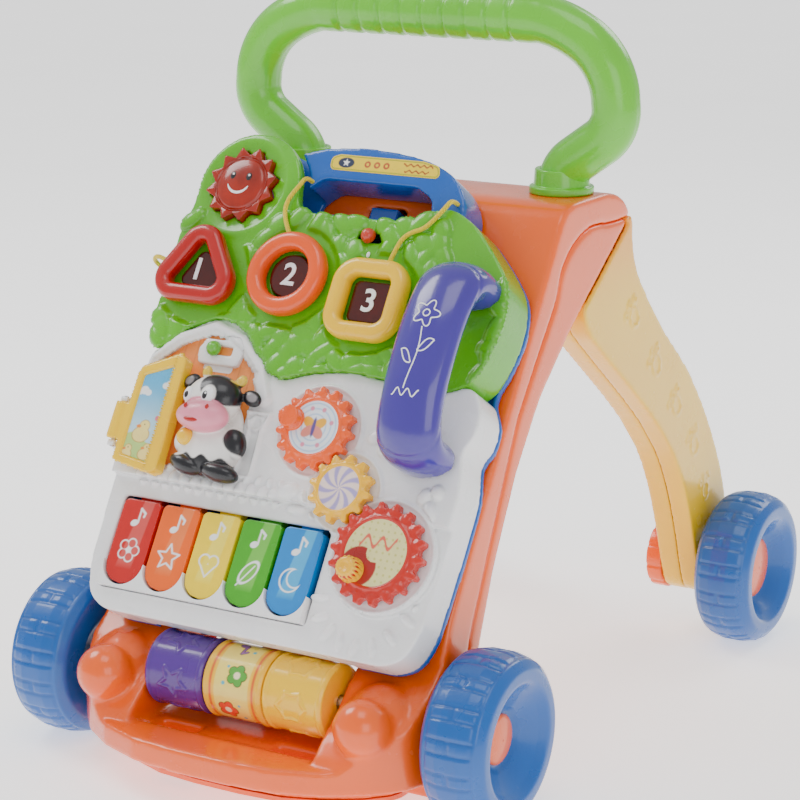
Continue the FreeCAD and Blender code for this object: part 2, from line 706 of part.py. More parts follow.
def shifted(points, across, up):
    """Points moved in the panel's plane."""
    return [(x + across, y + up) for x, y in points]


def square(half):
    """Corner points of a square."""
    return [(half, -half), (half, half), (-half, half), (-half, -half)]


def shape_outline(number, grow):
    """Outline and corner rounding of a number's shape, grown or shrunk by a distance."""
    word = ("one", "two", "three")[number - 1]
    centre = size(f"ring_{word}_p"), size(f"ring_{word}_q")
    if number == 1:
        return shifted(rounded_triangle(20 + 1.9 * grow), *centre), 5 + max(grow, 0) * 0.6
    return shifted(square(13.5 + grow), *centre), 4 + max(grow, 0) * 0.5


def shape_prism(number, grow, low, high):
    """A prism of a number's shape: triangle, circle or square."""
    if number == 2:
        return cylinder(f"dims.button_radius + {grow}", f"({high}) - ({low})",
                        ("dims.ring_two_p", "dims.ring_two_q", low))
    points, rounding = shape_outline(number, grow)
    return prism(points, low, high, rounding)


def button_holes():
    """Holes in the green shell for the three number buttons."""
    return [shape_prism(i, 0.5, 25, CLEAR) for i in (1, 2, 3)]


def shapes_and_buttons():
    """Three push-out shape rings, each round a lit number button."""
    ring_width = 13.5
    for number, name in ((1, "triangle"), (2, "circle"), (3, "square")):
        top = "dims.ring_bottom + dims.ring_height"
        ring = cut(shape_prism(number, ring_width, "dims.ring_bottom", top),
                   shape_prism(number, 2, 0, CLEAR))
        node(f"shape_{name}", ring, panel=True)
        node(f"number_button_{number}",
             shape_prism(number, 0, "dims.button_bottom", "dims.button_top"), panel=True)


def keys():
    """Five piano keys on one rod, over the circuit board's contacts."""
    for i, name in enumerate(("red", "orange", "yellow", "green", "blue")):
        middle = f"(dims.key_first + {i} * dims.key_pitch)"
        low, high = f"{middle} - dims.key_width / 2", f"{middle} + dims.key_width / 2"
        start = size("key_first") + i * size("key_pitch")
        half = size("key_width") / 2
        bottom, top = size("key_low"), size("key_high")
        outline = [(start + half, top), (start - half, top)]
        for turn in range(180, 361, 30):
            angle = math.radians(turn)
            outline.append((start + half * math.cos(angle), bottom + 12 + 12 * math.sin(angle)))
        slab = prism(outline, "dims.key_bottom", "dims.key_top", 3.5)
        lug = box((f"{middle} - 8", "dims.key_high - 6", "dims.key_rod_n - 4"),
                  (f"{middle} + 8", "dims.key_rod_q + 4", "dims.key_rod_n + 4.5"))
        bore = cylinder("dims.key_rod_radius + dims.running_gap", 2 * CLEAR,
                        (-CLEAR, "dims.key_rod_q", "dims.key_rod_n"), X_AXIS)
        node(f"key_{name}", cut(fuse(slab, lug), bore), panel=True)
    node("key_rod", cylinder("dims.key_rod_radius", 160,
                             (-113, "dims.key_rod_q", "dims.key_rod_n"), X_AXIS), panel=True)


def gear_outline(teeth):
    """A gear's rim: one rounded tooth is repeated round the pitch circle."""
    module = size("gear_module")
    pitch = module * teeth / 2
    crest, root = pitch + 0.5 * module, pitch - 0.68 * module
    points = []
    for i in range(teeth):
        for share, radius in ((-0.30, root), (-0.13, crest), (0.13, crest), (0.30, root)):
            angle = 2 * math.pi * (i + share) / teeth
            points.append((radius, angle))
    return points


def gears():
    """Three meshed gears, turned so that their teeth fall into each other's gaps."""
    teeth = {"a": 15, "b": 12, "c": 18}
    centre = {g: (size(f"gear_{g}_p"), size(f"gear_{g}_q")) for g in teeth}
    mesh_ab = math.atan2(centre["b"][1] - centre["a"][1], centre["b"][0] - centre["a"][0])
    mesh_bc = math.atan2(centre["c"][1] - centre["b"][1], centre["c"][0] - centre["b"][0])
    phase = {"a": mesh_ab}
    phase["b"] = mesh_ab + math.pi + math.pi / teeth["b"]
    steps = (mesh_bc - phase["b"]) / (2 * math.pi / teeth["b"])
    into_gap = (steps - math.floor(steps)) * 2 * math.pi / teeth["c"]
    phase["c"] = mesh_bc + math.pi + math.pi / teeth["c"] + into_gap
    for name, colour in (("a", "orange"), ("b", "yellow"), ("c", "red")):
        points = [(centre[name][0] + r * math.cos(a + phase[name]),
                   centre[name][1] + r * math.sin(a + phase[name]))
                  for r, a in gear_outline(teeth[name])]
        rim = prism(points, "dims.gear_bottom", "dims.gear_bottom + dims.gear_thick", 1.2)
        bore = cylinder("dims.gear_post_radius + dims.running_gap", "5.3",
                        (f"dims.gear_{name}_p", f"dims.gear_{name}_q", "dims.gear_bottom"))
        body = [rim]
        if name != "b":
            reach = {"a": 16, "c": 18}[name]
            turn = {"a": 168, "c": 226}[name]
            place = (centre[name][0] + reach * math.cos(math.radians(turn)),
                     centre[name][1] + reach * math.sin(math.radians(turn)))
            body.append(cylinder(7, 9, (place[0], place[1],
                                        "dims.gear_bottom + dims.gear_thick - 1")))
        part = cut(fuse(*body) if len(body) > 1 else rim, bore)
        node(f"gear_{colour}", part, panel=True)


def handset():
    """The purple handset: an arch of oval sections over its cradle, split into two halves."""
    foot, pivot, reach = 38.6, (113, 50), 18
    stations = [(pivot[0] - reach, foot, 90), (pivot[0] - reach, pivot[1], 90)]
    for turn in (25, 50, 72):
        angle = math.radians(turn)
        stations.append((pivot[0] - reach * math.cos(angle), pivot[1] + reach * math.sin(angle),
                         90 - turn))
    centre = 149
    stations += [(centre, 73, 0)]
    stations += [(2 * centre - q, n, -tilt) for q, n, tilt in reversed(stations[:-1])]
    rings = []
    for q, n, tilt in stations:
        angle = math.radians(tilt)
        bend = abs(math.sin(angle))
        wide = size("handset_width") / 2 - 1.2 * (1 - bend)
        deep = 11 + 2 * bend
        middle = V(size("handset_p"), q, n)
        out = V(0, -math.sin(angle), math.cos(angle))
        rings.append(Part.Wire(Part.Ellipse(middle + V(wide, 0, 0), middle + out * deep,
                                            middle).toShape()))
    grip = Part.makeLoft(rings, True, False)
    for name, shape in (("front", common), ("back", cut)):
        above = box((0, 0, "dims.handset_split"), (CLEAR, 2 * CLEAR, CLEAR))
        node(f"handset_{name}", shape(solid(grip, "grip"), above), panel=True)


def small_controls():
    """Power knob on its stem and the mode knob in its frame."""
    node("power_knob", fuse(
        cylinder("dims.knob_radius", "dims.knob_height - 2",
                 ("dims.power_p", "dims.power_q", "dims.green_top + 0.4")),
        box(("dims.power_p - 2.5", "dims.power_q - 2.5", "dims.green_top - 6"),
            ("dims.power_p + 2.5", "dims.power_q + 2.5", "dims.green_top + 1"))), panel=True)
    node("mode_knob", cylinder("dims.knob_radius", 5,
                               ("dims.mode_p - 4", "dims.mode_q - 1", "dims.white_high + 2.4")),
         panel=True)


def barn_door():
    """The hinged door, shaped as if seen ajar: a picture leaf with a thick rim, and its pin."""
    leaf = [(6, 61.4), (38, 55.5), (43.2, 58), (41, 132.5), (34, 136.5), (8, 124.6), (6, 120)]
    rim = [(34.5, 56.2), (38, 55.5), (43.2, 58), (41, 132.5), (34.5, 136)]
    slab = fuse(prism(leaf, "-dims.door_thick / 2", "dims.door_thick / 2", 1.5),
                prism(rim, "-dims.door_thick / 2", "dims.door_thick / 2 + 5", 3))
    bore = cylinder("dims.pin_small + dims.running_gap", CLEAR, (0, 0, 0), Y_AXIS)
    knuckle = cylinder(4, 24, (0, 75, 0), Y_AXIS)
    arm = box((0, 75, "-dims.door_thick / 2"), (6, 99, "dims.door_thick / 2"))
    turned = add("Part::Compound", "ajar")
    turned.Links = [cut(fuse(slab, knuckle, arm), bore)]
    turned.Placement = FreeCAD.Placement(V(0, 0, 0), FreeCAD.Rotation(V(0, -1, 0), size("door_open")))
    turned.setExpression("Placement.Rotation.Angle", "dims.door_open")
    turned.setExpression("Placement.Base.x", "dims.door_p + 2")
    turned.setExpression("Placement.Base.z", "dims.door_n + 2.5")
    node("barn_door", turned, panel=True)
    node("door_pin", door_axle(), panel=True)


def door_axle():
    """The pin the door turns on, held by two lugs of the white shell."""
    return cylinder("dims.pin_small", 34, ("dims.door_p + 2", 70, "dims.door_n + 2.5"), Y_AXIS)


def calf():
    """A small seated calf in front of the barn wall."""
    wall = "dims.white_high - 3"
    inside = prism(inset(BARN, 0.5), wall, CLEAR)
    body = common(fuse(cylinder(22, 17, (-50, 86, wall)), box((-72, 68, wall), (-28, 90, 50))),
                  inside)
    feet = box((-73, 59, "dims.white_high + 0.3"), (-27, 78, "dims.white_high + 17"))
    head = fuse(sphere(17, (-54, 108, 53)), sphere(13, (-59, 101, 58)))
    node("calf_figure", fuse(body, feet, head), panel=True)


def electronics():
    """What the panel holds: the circuit board with its five key contacts, and the speaker."""
    domes = [cylinder(5, 9, (f"dims.key_first + {i} * dims.key_pitch", 10, 10)) for i in range(5)]
    node("circuit_board", fuse(box((-108, 0, 9), (60, 34, 10.6)), box((0, 34, 9), (60, 100, 10.6)),
                               *domes), panel=True)
    node("speaker", cylinder(24, 12, (75, 160, 7)), panel=True)


CORDS = {
    # centre lines in the panel frame, from the shape piece to where each goes back into the walker
    "cord_circle": [(-39.7, 226.1, 43), (-45.5, 234, 42.5), (-49.5, 243, 42), (-48.5, 251.5, 42),
                    (-43.5, 260, 42), (-43, 267.8, 38.3), (-43, 267.8, 30)],
    "cord_square": [(38.5, 215.1, 43), (39.5, 223.5, 42), (41.5, 231.5, 41.5), (47.5, 236.3, 42),
                    (55, 239, 42), (61, 246, 42.5), (66, 254, 42.5), (66.5, 261.8, 38),
                    (66.5, 261.8, 30)],
    "cord_triangle": [(-124.5, 198.2, 45), (-132.5, 201, 44.8), (-139.5, 200.3, 39),
                      (-140.5, 199, 30.5), (-134.5, 198, 24), (-126.25, 198.2, 24)],
}


def cord_tube(points, radius):
    """A round tube along straight runs joined by tangent arcs."""
    corners = [V(*point) for point in points]
    edges = []
    last = corners[0]
    lengths = [(b - a).Length for a, b in zip(corners, corners[1:])]
    for i in range(1, len(corners) - 1):
        before = (corners[i - 1] - corners[i]).normalize()
        after = (corners[i + 1] - corners[i]).normalize()
        half_turn = (math.pi - before.getAngle(after)) / 2
        reach = 0.45 * min(lengths[i - 1], lengths[i])
        bend = reach / math.tan(half_turn)
        first, end = corners[i] + before * reach, corners[i] + after * reach
        centre_gap = bend / math.cos(half_turn) - bend
        middle = corners[i] + (before + after).normalize() * centre_gap
        edges.append(Part.LineSegment(last, first).toShape())
        edges.append(Part.Arc(first, middle, end).toShape())
        last = end
        print(f"   bend radius {bend:.1f} mm, turn {math.degrees(2 * half_turn):.0f} deg")
    edges.append(Part.LineSegment(last, corners[-1]).toShape())
    path = Part.Wire(edges)
    ring = Part.Wire(Part.Circle(corners[0], corners[1] - corners[0], radius).toShape())
    tube = path.makePipeShell([ring], True, False)
    expected = math.pi * radius ** 2 * path.Length
    print(f"   length {path.Length:.1f} mm, volume ratio {tube.Volume / expected:.4f}")
    return tube


def cords():
    """Tether cords of the three shape pieces."""
    for name, points in CORDS.items():
        print(name)
        node(name, solid(cord_tube(points, size("cord_radius")), "tube"), panel=True)


def build():
    """Make every sub-part, check all of them, then write the STEP files."""
    body_halves()
    base_cover()
    wheels()
    legs()
    push_handle()
    rollers()
    release_tab()
    panel_case()
    panel_shells()
    shapes_and_buttons()
    keys()
    gears()
    handset()
    small_controls()
    barn_door()
    calf()
    electronics()
    cords()
    doc.recompute()
    failed = [obj.Name for obj in doc.Objects if "Invalid" in obj.State or "Error" in obj.State]
    for obj in SUBPARTS:
        if obj.Shape.isNull() or not obj.Shape.isValid() or not obj.Shape.Solids:
            failed.append(obj.Label)
    if failed:
        raise RuntimeError(f"failed objects: {failed}")
    os.makedirs("parts", exist_ok=True)
    for obj in SUBPARTS:
        obj.Shape.exportStep(f"parts/{obj.Label}.step")
        bound = obj.Shape.BoundBox
        print(f"{obj.Label:22s} solids {len(obj.Shape.Solids):2d} volume {obj.Shape.Volume:10.0f}"
              f" x {bound.XMin:7.1f} {bound.XMax:7.1f} y {bound.YMin:7.1f} {bound.YMax:7.1f}"
              f" z {bound.ZMin:6.1f} {bound.ZMax:6.1f}")
    print(len(SUBPARTS), "sub-parts")


build()
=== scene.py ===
"""The looks of the baby walker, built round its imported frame.

Inside each piece lengths are millimetres: in the walker frame (X across, Y back, Z up, front
axle at Y = 0) or in the panel frame (p across, q up the leaning face, n straight out of it).
WALKER and PANEL turn them into metres in the row's own axes.
"""

import math
import random

import bmesh
import bpy
import numpy as np
from mathutils import Matrix, Vector
from mathutils.bvhtree import BVHTree


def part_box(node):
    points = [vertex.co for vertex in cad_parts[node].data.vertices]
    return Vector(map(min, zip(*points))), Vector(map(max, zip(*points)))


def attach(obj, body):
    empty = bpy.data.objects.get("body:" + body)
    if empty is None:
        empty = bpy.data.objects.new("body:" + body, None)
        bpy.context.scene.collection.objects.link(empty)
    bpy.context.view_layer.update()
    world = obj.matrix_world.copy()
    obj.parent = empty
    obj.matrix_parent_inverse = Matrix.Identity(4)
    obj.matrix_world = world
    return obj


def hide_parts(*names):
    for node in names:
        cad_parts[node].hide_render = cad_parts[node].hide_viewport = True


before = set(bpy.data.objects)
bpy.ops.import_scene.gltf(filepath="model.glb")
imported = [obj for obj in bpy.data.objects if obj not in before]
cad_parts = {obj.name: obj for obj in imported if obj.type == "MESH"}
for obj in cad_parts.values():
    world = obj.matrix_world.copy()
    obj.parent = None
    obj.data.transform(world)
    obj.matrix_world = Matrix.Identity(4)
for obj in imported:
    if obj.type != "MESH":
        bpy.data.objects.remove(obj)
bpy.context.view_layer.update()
MM = 0.001


def middle(node):
    """Centre of a CAD node's box, in metres."""
    low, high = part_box(node)
    return (low + high) / 2


AXLE_Y = middle("wheel_front_left").y
PANEL_FOOT = 0.1133
LEAN = math.radians(31.7)
WALKER = Matrix.Translation((0, AXLE_Y, 0)) @ Matrix.Scale(MM, 4)
PANEL = (Matrix.Translation((0, AXLE_Y, PANEL_FOOT)) @ Matrix.Rotation(math.pi / 2 - LEAN, 4, "X")
         @ Matrix.Scale(MM, 4))


# --- colours and materials ---
def rgb(code):
    """A hex colour as linear red, green and blue."""
    values = [int(code[i:i + 2], 16) / 255 for i in (0, 2, 4)]
    return np.array([v / 12.92 if v <= 0.04045 else ((v + 0.055) / 1.055) ** 2.4 for v in values])


ORANGE, BLUE, WHITE = rgb("FF6200"), rgb("0458AA"), rgb("F4F4F5")
HOOP_GREEN, LEAF_GREEN, PURPLE = rgb("65C420"), rgb("5BB50D"), rgb("3E2C94")
BLACK, SNOW = rgb("14141A"), rgb("FAFAFA")


def node_tree(name):
    """A new material with its node tree and its shader."""
    material = bpy.data.materials.new(name)
    material.use_nodes = True
    nodes = material.node_tree.nodes
    return material, nodes, material.node_tree.links, nodes["Principled BSDF"]


def noise(nodes, links, scale, detail=2.0, low=0.0, high=1.0):
    """Noise in the piece's own space, mapped to a range."""
    place = nodes.new("ShaderNodeTexCoord")
    cloud = nodes.new("ShaderNodeTexNoise")
    cloud.inputs["Scale"].default_value = scale
    cloud.inputs["Detail"].default_value = detail
    links.new(place.outputs["Object"], cloud.inputs["Vector"])
    spread = nodes.new("ShaderNodeMapRange")
    spread.inputs["From Min"].default_value = 0.3
    spread.inputs["From Max"].default_value = 0.7
    spread.inputs["To Min"].default_value = low
    spread.inputs["To Max"].default_value = high
    links.new(cloud.outputs["Fac"], spread.inputs["Value"])
    return spread.outputs["Result"]


def blend_colour(nodes, links, factor, first, second):
    """A mix of two colours; each is a socket or a colour."""
    mix = nodes.new("ShaderNodeMix")
    mix.data_type = "RGBA"
    links.new(factor, mix.inputs[0])
    for socket, value in ((mix.inputs[6], first), (mix.inputs[7], second)):
        if isinstance(value, bpy.types.NodeSocket):
            links.new(value, socket)
        else:
            socket.default_value = (*value, 1)
    return mix.outputs[2]


def surface(nodes, links, shader, rough, grain, fine=900.0):
    """Uneven gloss and the fine texture of a mould, as roughness and bump."""
    links.new(noise(nodes, links, 45, 3, rough * 0.8, rough * 1.25), shader.inputs["Roughness"])
    bump = nodes.new("ShaderNodeBump")
    bump.inputs["Strength"].default_value = grain
    bump.inputs["Distance"].default_value = 0.0004
    links.new(noise(nodes, links, fine, 2), bump.inputs["Height"])
    links.new(bump.outputs["Normal"], shader.inputs["Normal"])


def worn(nodes, links, colour, pale):
    """A colour rubbed paler along its outer edges."""
    shape = nodes.new("ShaderNodeNewGeometry")
    edges = nodes.new("ShaderNodeMapRange")
    edges.inputs["From Min"].default_value = 0.505
    edges.inputs["From Max"].default_value = 0.62
    edges.inputs["To Max"].default_value = 0.14
    links.new(shape.outputs["Pointiness"], edges.inputs["Value"])
    return blend_colour(nodes, links, edges.outputs["Result"], colour, pale)


def plastic(name, colour, rough=0.24, coat=0.4, grain=0.06, light=0.12, second=None, levels=None):
    """Moulded plastic; second and levels fade it into another colour between two heights."""
    material, nodes, links, shader = node_tree(name)
    colour = np.asarray(colour)
    base = blend_colour(nodes, links, noise(nodes, links, 14, 3), colour * 0.93,
                        np.minimum(colour * 1.06, 1))
    if second is not None:
        place = nodes.new("ShaderNodeTexCoord")
        split = nodes.new("ShaderNodeSeparateXYZ")
        links.new(place.outputs["Object"], split.inputs["Vector"])
        fade = nodes.new("ShaderNodeMapRange")
        fade.interpolation_type = "SMOOTHSTEP"
        fade.inputs["From Min"].default_value = levels[0]
        fade.inputs["From Max"].default_value = levels[1]
        links.new(split.outputs["Z"], fade.inputs["Value"])
        base = blend_colour(nodes, links, fade.outputs["Result"], base, second)
    base = worn(nodes, links, base, np.minimum(colour * (1 - light) + light, 1))
    links.new(base, shader.inputs["Base Color"])
    shader.inputs["Coat Weight"].default_value = coat
    shader.inputs["Coat Roughness"].default_value = 0.08
    shader.inputs["Subsurface Weight"].default_value = 0.04
    shader.inputs["Subsurface Scale"].default_value = 0.004
    surface(nodes, links, shader, rough, grain)
    return material


def printed(name, rough=0.3, coat=0.25, grain=0.03):
    """A printed or painted surface: its colours are the mesh's own, with a little unevenness."""
    material, nodes, links, shader = node_tree(name)
    ink = nodes.new("ShaderNodeAttribute")
    ink.attribute_name = "paint"
    shade = nodes.new("ShaderNodeMix")
    shade.data_type = "RGBA"
    shade.blend_type = "MULTIPLY"
    shade.inputs[0].default_value = 1.0
    links.new(ink.outputs["Color"], shade.inputs[6])
    links.new(blend_colour(nodes, links, noise(nodes, links, 120, 3), (0.93,) * 3, (1.0,) * 3),
              shade.inputs[7])
    links.new(shade.outputs[2], shader.inputs["Base Color"])
    shader.inputs["Coat Weight"].default_value = coat
    shader.inputs["Coat Roughness"].default_value = 0.12
    surface(nodes, links, shader, rough, grain)
    return material


def lens(name, colour, rough=0.12):
    """Tinted, half-clear plastic over something dark."""
    material, nodes, links, shader = node_tree(name)
    colour = np.asarray(colour)
    links.new(blend_colour(nodes, links, noise(nodes, links, 60, 4), colour * 0.7,
                           np.minimum(colour * 1.25, 1)), shader.inputs["Base Color"])
    shader.inputs["Coat Weight"].default_value = 0.3
    shader.inputs["Coat Roughness"].default_value = 0.05
    shader.inputs["Subsurface Weight"].default_value = 0.1
    shader.inputs["Subsurface Scale"].default_value = 0.006
    surface(nodes, links, shader, rough, 0.04, 300)
    return material


def metal(name, colour):
    """Zinc-plated steel with fine turning marks."""
    material, nodes, links, shader = node_tree(name)
    links.new(blend_colour(nodes, links, noise(nodes, links, 200, 4), np.asarray(colour) * 0.8,
                           colour), shader.inputs["Base Color"])
    shader.inputs["Metallic"].default_value = 1.0
    surface(nodes, links, shader, 0.32, 0.15, 1500)
    return material


def woven(name, colour):
    """A soft braided cord, with painted shade darkening the grooves between its strands."""
    material, nodes, links, shader = node_tree(name)
    place = nodes.new("ShaderNodeTexCoord")
    braid = nodes.new("ShaderNodeTexWave")
    braid.inputs["Scale"].default_value = 420
    braid.inputs["Distortion"].default_value = 1.5
    links.new(place.outputs["Object"], braid.inputs["Vector"])
    colour = np.asarray(colour)
    # Painted shade: the braid's low grooves are darkened in the colour, matching the bump.
    links.new(blend_colour(nodes, links, braid.outputs["Fac"], colour * 0.62, colour),
              shader.inputs["Base Color"])
    bump = nodes.new("ShaderNodeBump")
    bump.inputs["Strength"].default_value = 0.6
    bump.inputs["Distance"].default_value = 0.0005
    links.new(braid.outputs["Fac"], bump.inputs["Height"])
    links.new(bump.outputs["Normal"], shader.inputs["Normal"])
    shader.inputs["Roughness"].default_value = 0.75
    shader.inputs["Sheen Weight"].default_value = 0.3
    return material


LOOK = {
    "body": plastic("body_orange_look", ORANGE),
    "leg": plastic("leg_look", rgb("FFC800"), second=rgb("FF9400"), levels=(0.27, 0.36)),
    "wheel": plastic("wheel_look", BLUE, rough=0.3, coat=0.3, grain=0.1),
    "hub": plastic("hub_look", rgb("FF6200")),
    "hoop": plastic("hoop_look", HOOP_GREEN, rough=0.26),
    "case": plastic("case_look", rgb("0256B0")),
    "white": plastic("white_look", WHITE, rough=0.26, coat=0.3),
    "leaf": plastic("leaf_look", LEAF_GREEN, rough=0.26),
    "ring_red": plastic("ring_red_look", rgb("B40C05")),
    "ring_orange": plastic("ring_orange_look", rgb("F25400")),
    "ring_yellow": plastic("ring_yellow_look", rgb("FFC600")),
    "window": lens("window_look", rgb("4A0A04")),
    "sun": lens("sun_look", rgb("9E2208"), 0.18),
    "gear_orange": plastic("gear_orange_look", rgb("FB5C08")),
    "gear_yellow": plastic("gear_yellow_look", rgb("FFBC00")),
    "gear_red": plastic("gear_red_look", rgb("C81E0A")),
    "purple": plastic("purple_look", PURPLE, rough=0.2, coat=0.6),
    "drum_purple": plastic("drum_purple_look", rgb("52288C")),
    "drum_yellow": plastic("drum_yellow_look", rgb("FFC800")),
    "door": plastic("door_look", rgb("FFCA00")),
    "green_knob": plastic("green_knob_look", rgb("5FB52A")),
    "red_knob": plastic("red_knob_look", rgb("C7331B")),
    "steel": metal("steel_look", (0.62, 0.62, 0.64)),
    "board": plastic("board_look", rgb("1F6B35"), rough=0.4, coat=0.1),
    "black": plastic("black_look", rgb("202024"), rough=0.45, coat=0.1),
    "cord": woven("cord_look", rgb("FFE000")),
    "print": printed("print_look"),
    "glossy": printed("glossy_look", 0.22, 0.4),
    "snow": plastic("snow_look", SNOW, rough=0.35, coat=0.15),
}
# Each key's colours: its own colour, and a paler copy painted on as the highlight of a lit facet.
KEY_COLOURS = {"red": ("C81410", "D8504A"), "orange": ("FA6400", "F87E3C"),
               "yellow": ("FFDC04", "FFE84A"), "green": ("40AA14", "72C446"),
               "blue": ("0284D4", "40AEE8")}


# --- making pieces ---
def finish_piece(name, mesh, body, look, replaces=()):
    """A named piece from a finished mesh in metres."""
    piece = bpy.data.objects.new(name, mesh)
    bpy.context.scene.collection.objects.link(piece)
    for one in (look if isinstance(look, (list, tuple)) else [look]):
        mesh.materials.append(LOOK[one])
    mesh.shade_smooth()
    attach(piece, body)
    if replaces:
        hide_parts(*replaces)
    return piece


def make(name, bm, place, body, look, replaces=(), paint=None, sharp=None):
    """A named piece from a bmesh in millimetres, with its colours from a paint function."""
    bmesh.ops.remove_doubles(bm, verts=bm.verts[:], dist=1e-4)
    bmesh.ops.recalc_face_normals(bm, faces=bm.faces[:])
    mesh = bpy.data.meshes.new(name)
    bm.to_mesh(mesh)
    bm.free()
    if paint:
        put_paint(mesh, paint(*points_of(mesh).T))
    mesh.transform(place)
    piece = finish_piece(name, mesh, body, look, replaces)
    if sharp:
        mesh.set_sharp_from_angle(angle=math.radians(sharp))
    return piece


def points_of(mesh):
    """A mesh's points as an array of rows."""
    flat = np.empty(len(mesh.vertices) * 3)
    mesh.vertices.foreach_get("co", flat)
    return flat.reshape(-1, 3)


def put_paint(mesh, colours):
    """Store one colour a point."""
    layer = mesh.color_attributes.new("paint", "FLOAT_COLOR", "POINT")
    rows = np.ones((len(mesh.vertices), 4))
    rows[:, :3] = colours
    layer.data.foreach_set("color", rows.astype(np.float32).ravel())


def remeshed(bm, voxel, rounds):
    """A soft-edged moulding of closed solids: one skin of small squares, smoothed."""
    mesh = bpy.data.meshes.new("raw")
    bm.to_mesh(mesh)
    bm.free()
    raw = bpy.data.objects.new("raw", mesh)
    bpy.context.scene.collection.objects.link(raw)
    skin = raw.modifiers.new("skin", "REMESH")
    skin.mode = "VOXEL"
    skin.voxel_size = voxel
    soften = raw.modifiers.new("soften", "SMOOTH")
    soften.factor = 0.5
    soften.iterations = rounds
    result = bpy.data.meshes.new_from_object(
        raw.evaluated_get(bpy.context.evaluated_depsgraph_get()))
    bpy.data.objects.remove(raw)
    return result


def moulding(name, nodes, body, look, voxel=1.1, rounds=6, place=PANEL, relief=None,
             paint=None):
    """CAD nodes with their edges rounded as a mould leaves them, and a relief raised on them.

    relief(points, normals) gives a height in millimetres for each point, along its normal."""
    bm = bmesh.new()
    for node in nodes:
        bm.from_mesh(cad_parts[node].data)
    bmesh.ops.scale(bm, vec=(1000, 1000, 1000), verts=bm.verts[:])
    mesh = remeshed(bm, voxel, rounds)
    mesh.transform(place.inverted() @ Matrix.Scale(MM, 4))
    points = points_of(mesh)
    normals = np.array([v.normal for v in mesh.vertices])
    if relief:
        points = points + normals * relief(points, normals)[:, None]
        mesh.vertices.foreach_set("co", points.ravel())
    if paint:
        put_paint(mesh, paint(*points.T))
    mesh.transform(place)
    return finish_piece(name, mesh, body, look, nodes)


def rounded(points, radius, step=0.8):
    """A closed outline with its corners turned into arcs."""
    result = []
    count = len(points)
    for i in range(count):
        here = Vector(points[i])
        before = Vector(points[i - 1]) - here
        after = Vector(points[(i + 1) % count]) - here
        turn = before.angle(after)
        reach = min(radius / math.tan(turn / 2), 0.48 * before.length, 0.48 * after.length)
        size = reach * math.tan(turn / 2)
        start, end = here + before.normalized() * reach, here + after.normalized() * reach
        pieces = max(2, int(size * (math.pi - turn) / step))
        centre = here + (before.normalized() + after.normalized()).normalized() * (
            size / math.sin(turn / 2))
        first, last = start - centre, end - centre
        for j in range(pieces + 1):
            spoke = first.lerp(last, j / pieces)
            result.append(tuple(centre + spoke.normalized() * size) if size > 1e-6
                          else tuple(here))
    return result


def prism(bm, outline, low, high):
    """A closed solid from an outline."""
    floor = [bm.verts.new((x, y, low)) for x, y in outline]
    top = [bm.verts.new((x, y, high)) for x, y in outline]
    bm.faces.new(list(reversed(floor)))
    bm.faces.new(top)
    for i in range(len(outline)):
        j = (i + 1) % len(outline)
        bm.faces.new((floor[i], floor[j], top[j], top[i]))


def ball(bm, centre, radii, turn=0.0):
    """An ellipsoid, turned about n."""
    made = bmesh.ops.create_uvsphere(bm, u_segments=40, v_segments=24, radius=1)
    matrix = (Matrix.Translation(centre) @ Matrix.Rotation(math.radians(turn), 4, "Z")
              @ Matrix.Diagonal((*radii, 1)))
    bmesh.ops.transform(bm, matrix=matrix, verts=made["verts"])


def plate(outline, low, high, step=0.45):
    """A thin plate whose top is cut into small squares, fine enough to be printed on."""
    bm = bmesh.new()
    bm.faces.new([bm.verts.new((x, y, high)) for x, y in outline])
    for axis in (0, 1):
        values = [point[axis] for point in outline]
        for level in np.arange(min(values) + step, max(values), step):
            normal = (1, 0, 0) if axis == 0 else (0, 1, 0)
            bmesh.ops.bisect_plane(bm, geom=bm.verts[:] + bm.edges[:] + bm.faces[:],
                                   plane_co=[level * c for c in normal], plane_no=normal)
    bmesh.ops.recalc_face_normals(bm, faces=bm.faces[:])
    if bm.faces[:][0].normal.z < 0:
        bmesh.ops.reverse_faces(bm, faces=bm.faces[:])
    bmesh.ops.solidify(bm, geom=bm.faces[:], thickness=high - low)
    return bm


def lathe(profile, around, shape=None):
    """A closed (x, radius) profile turned about the X direction.

    shape(x, radius, angle) gives how much each point moves outwards."""
    bm = bmesh.new()
    rings = []
    for i in range(around):
        angle = 2 * math.pi * i / around
        ring = []
        for x, radius in profile:
            grown = radius + (shape(x, radius, angle) if shape else 0)
            ring.append(bm.verts.new((x, grown * math.cos(angle), grown * math.sin(angle))))
        rings.append(ring)
    for i in range(around):
        here, there = rings[i], rings[(i + 1) % around]
        for j in range(len(profile)):
            k = (j + 1) % len(profile)
            bm.faces.new((here[j], here[k], there[k], there[j]))
    return bm


def sweep(path, section, closed=False):
    """A tube along a flat path of (a, b); section(i, count) gives its (side, up) points."""
    bm = bmesh.new()
    rings = []
    count = len(path)
    for i in range(count):
        before = path[i - 1] if closed or i else path[i]
        after = path[(i + 1) % count] if closed or i < count - 1 else path[i]
        along = (Vector(after) - Vector(before)).normalized()
        side = Vector((along.y, -along.x))
        rings.append([bm.verts.new((path[i][0] + side.x * s, path[i][1] + side.y * s, up))
                      for s, up in section(i, count)])
    for i in range(count if closed else count - 1):
        here, there = rings[i], rings[(i + 1) % count]
        for j in range(len(here)):
            k = (j + 1) % len(here)
            bm.faces.new((here[j], here[k], there[k], there[j]))
    if not closed:
        bm.faces.new(rings[0])
        bm.faces.new(list(reversed(rings[-1])))
    return bm


def squircle(half_width, half_height, power=2.6, count=28):
    """A rounded box as (side, up) points."""
    points = []
    for i in range(count):
        angle = 2 * math.pi * i / count
        c, s = math.cos(angle), math.sin(angle)
        points.append((half_width * math.copysign(abs(c) ** (2 / power), c),
                       half_height * math.copysign(abs(s) ** (2 / power), s)))
    return points


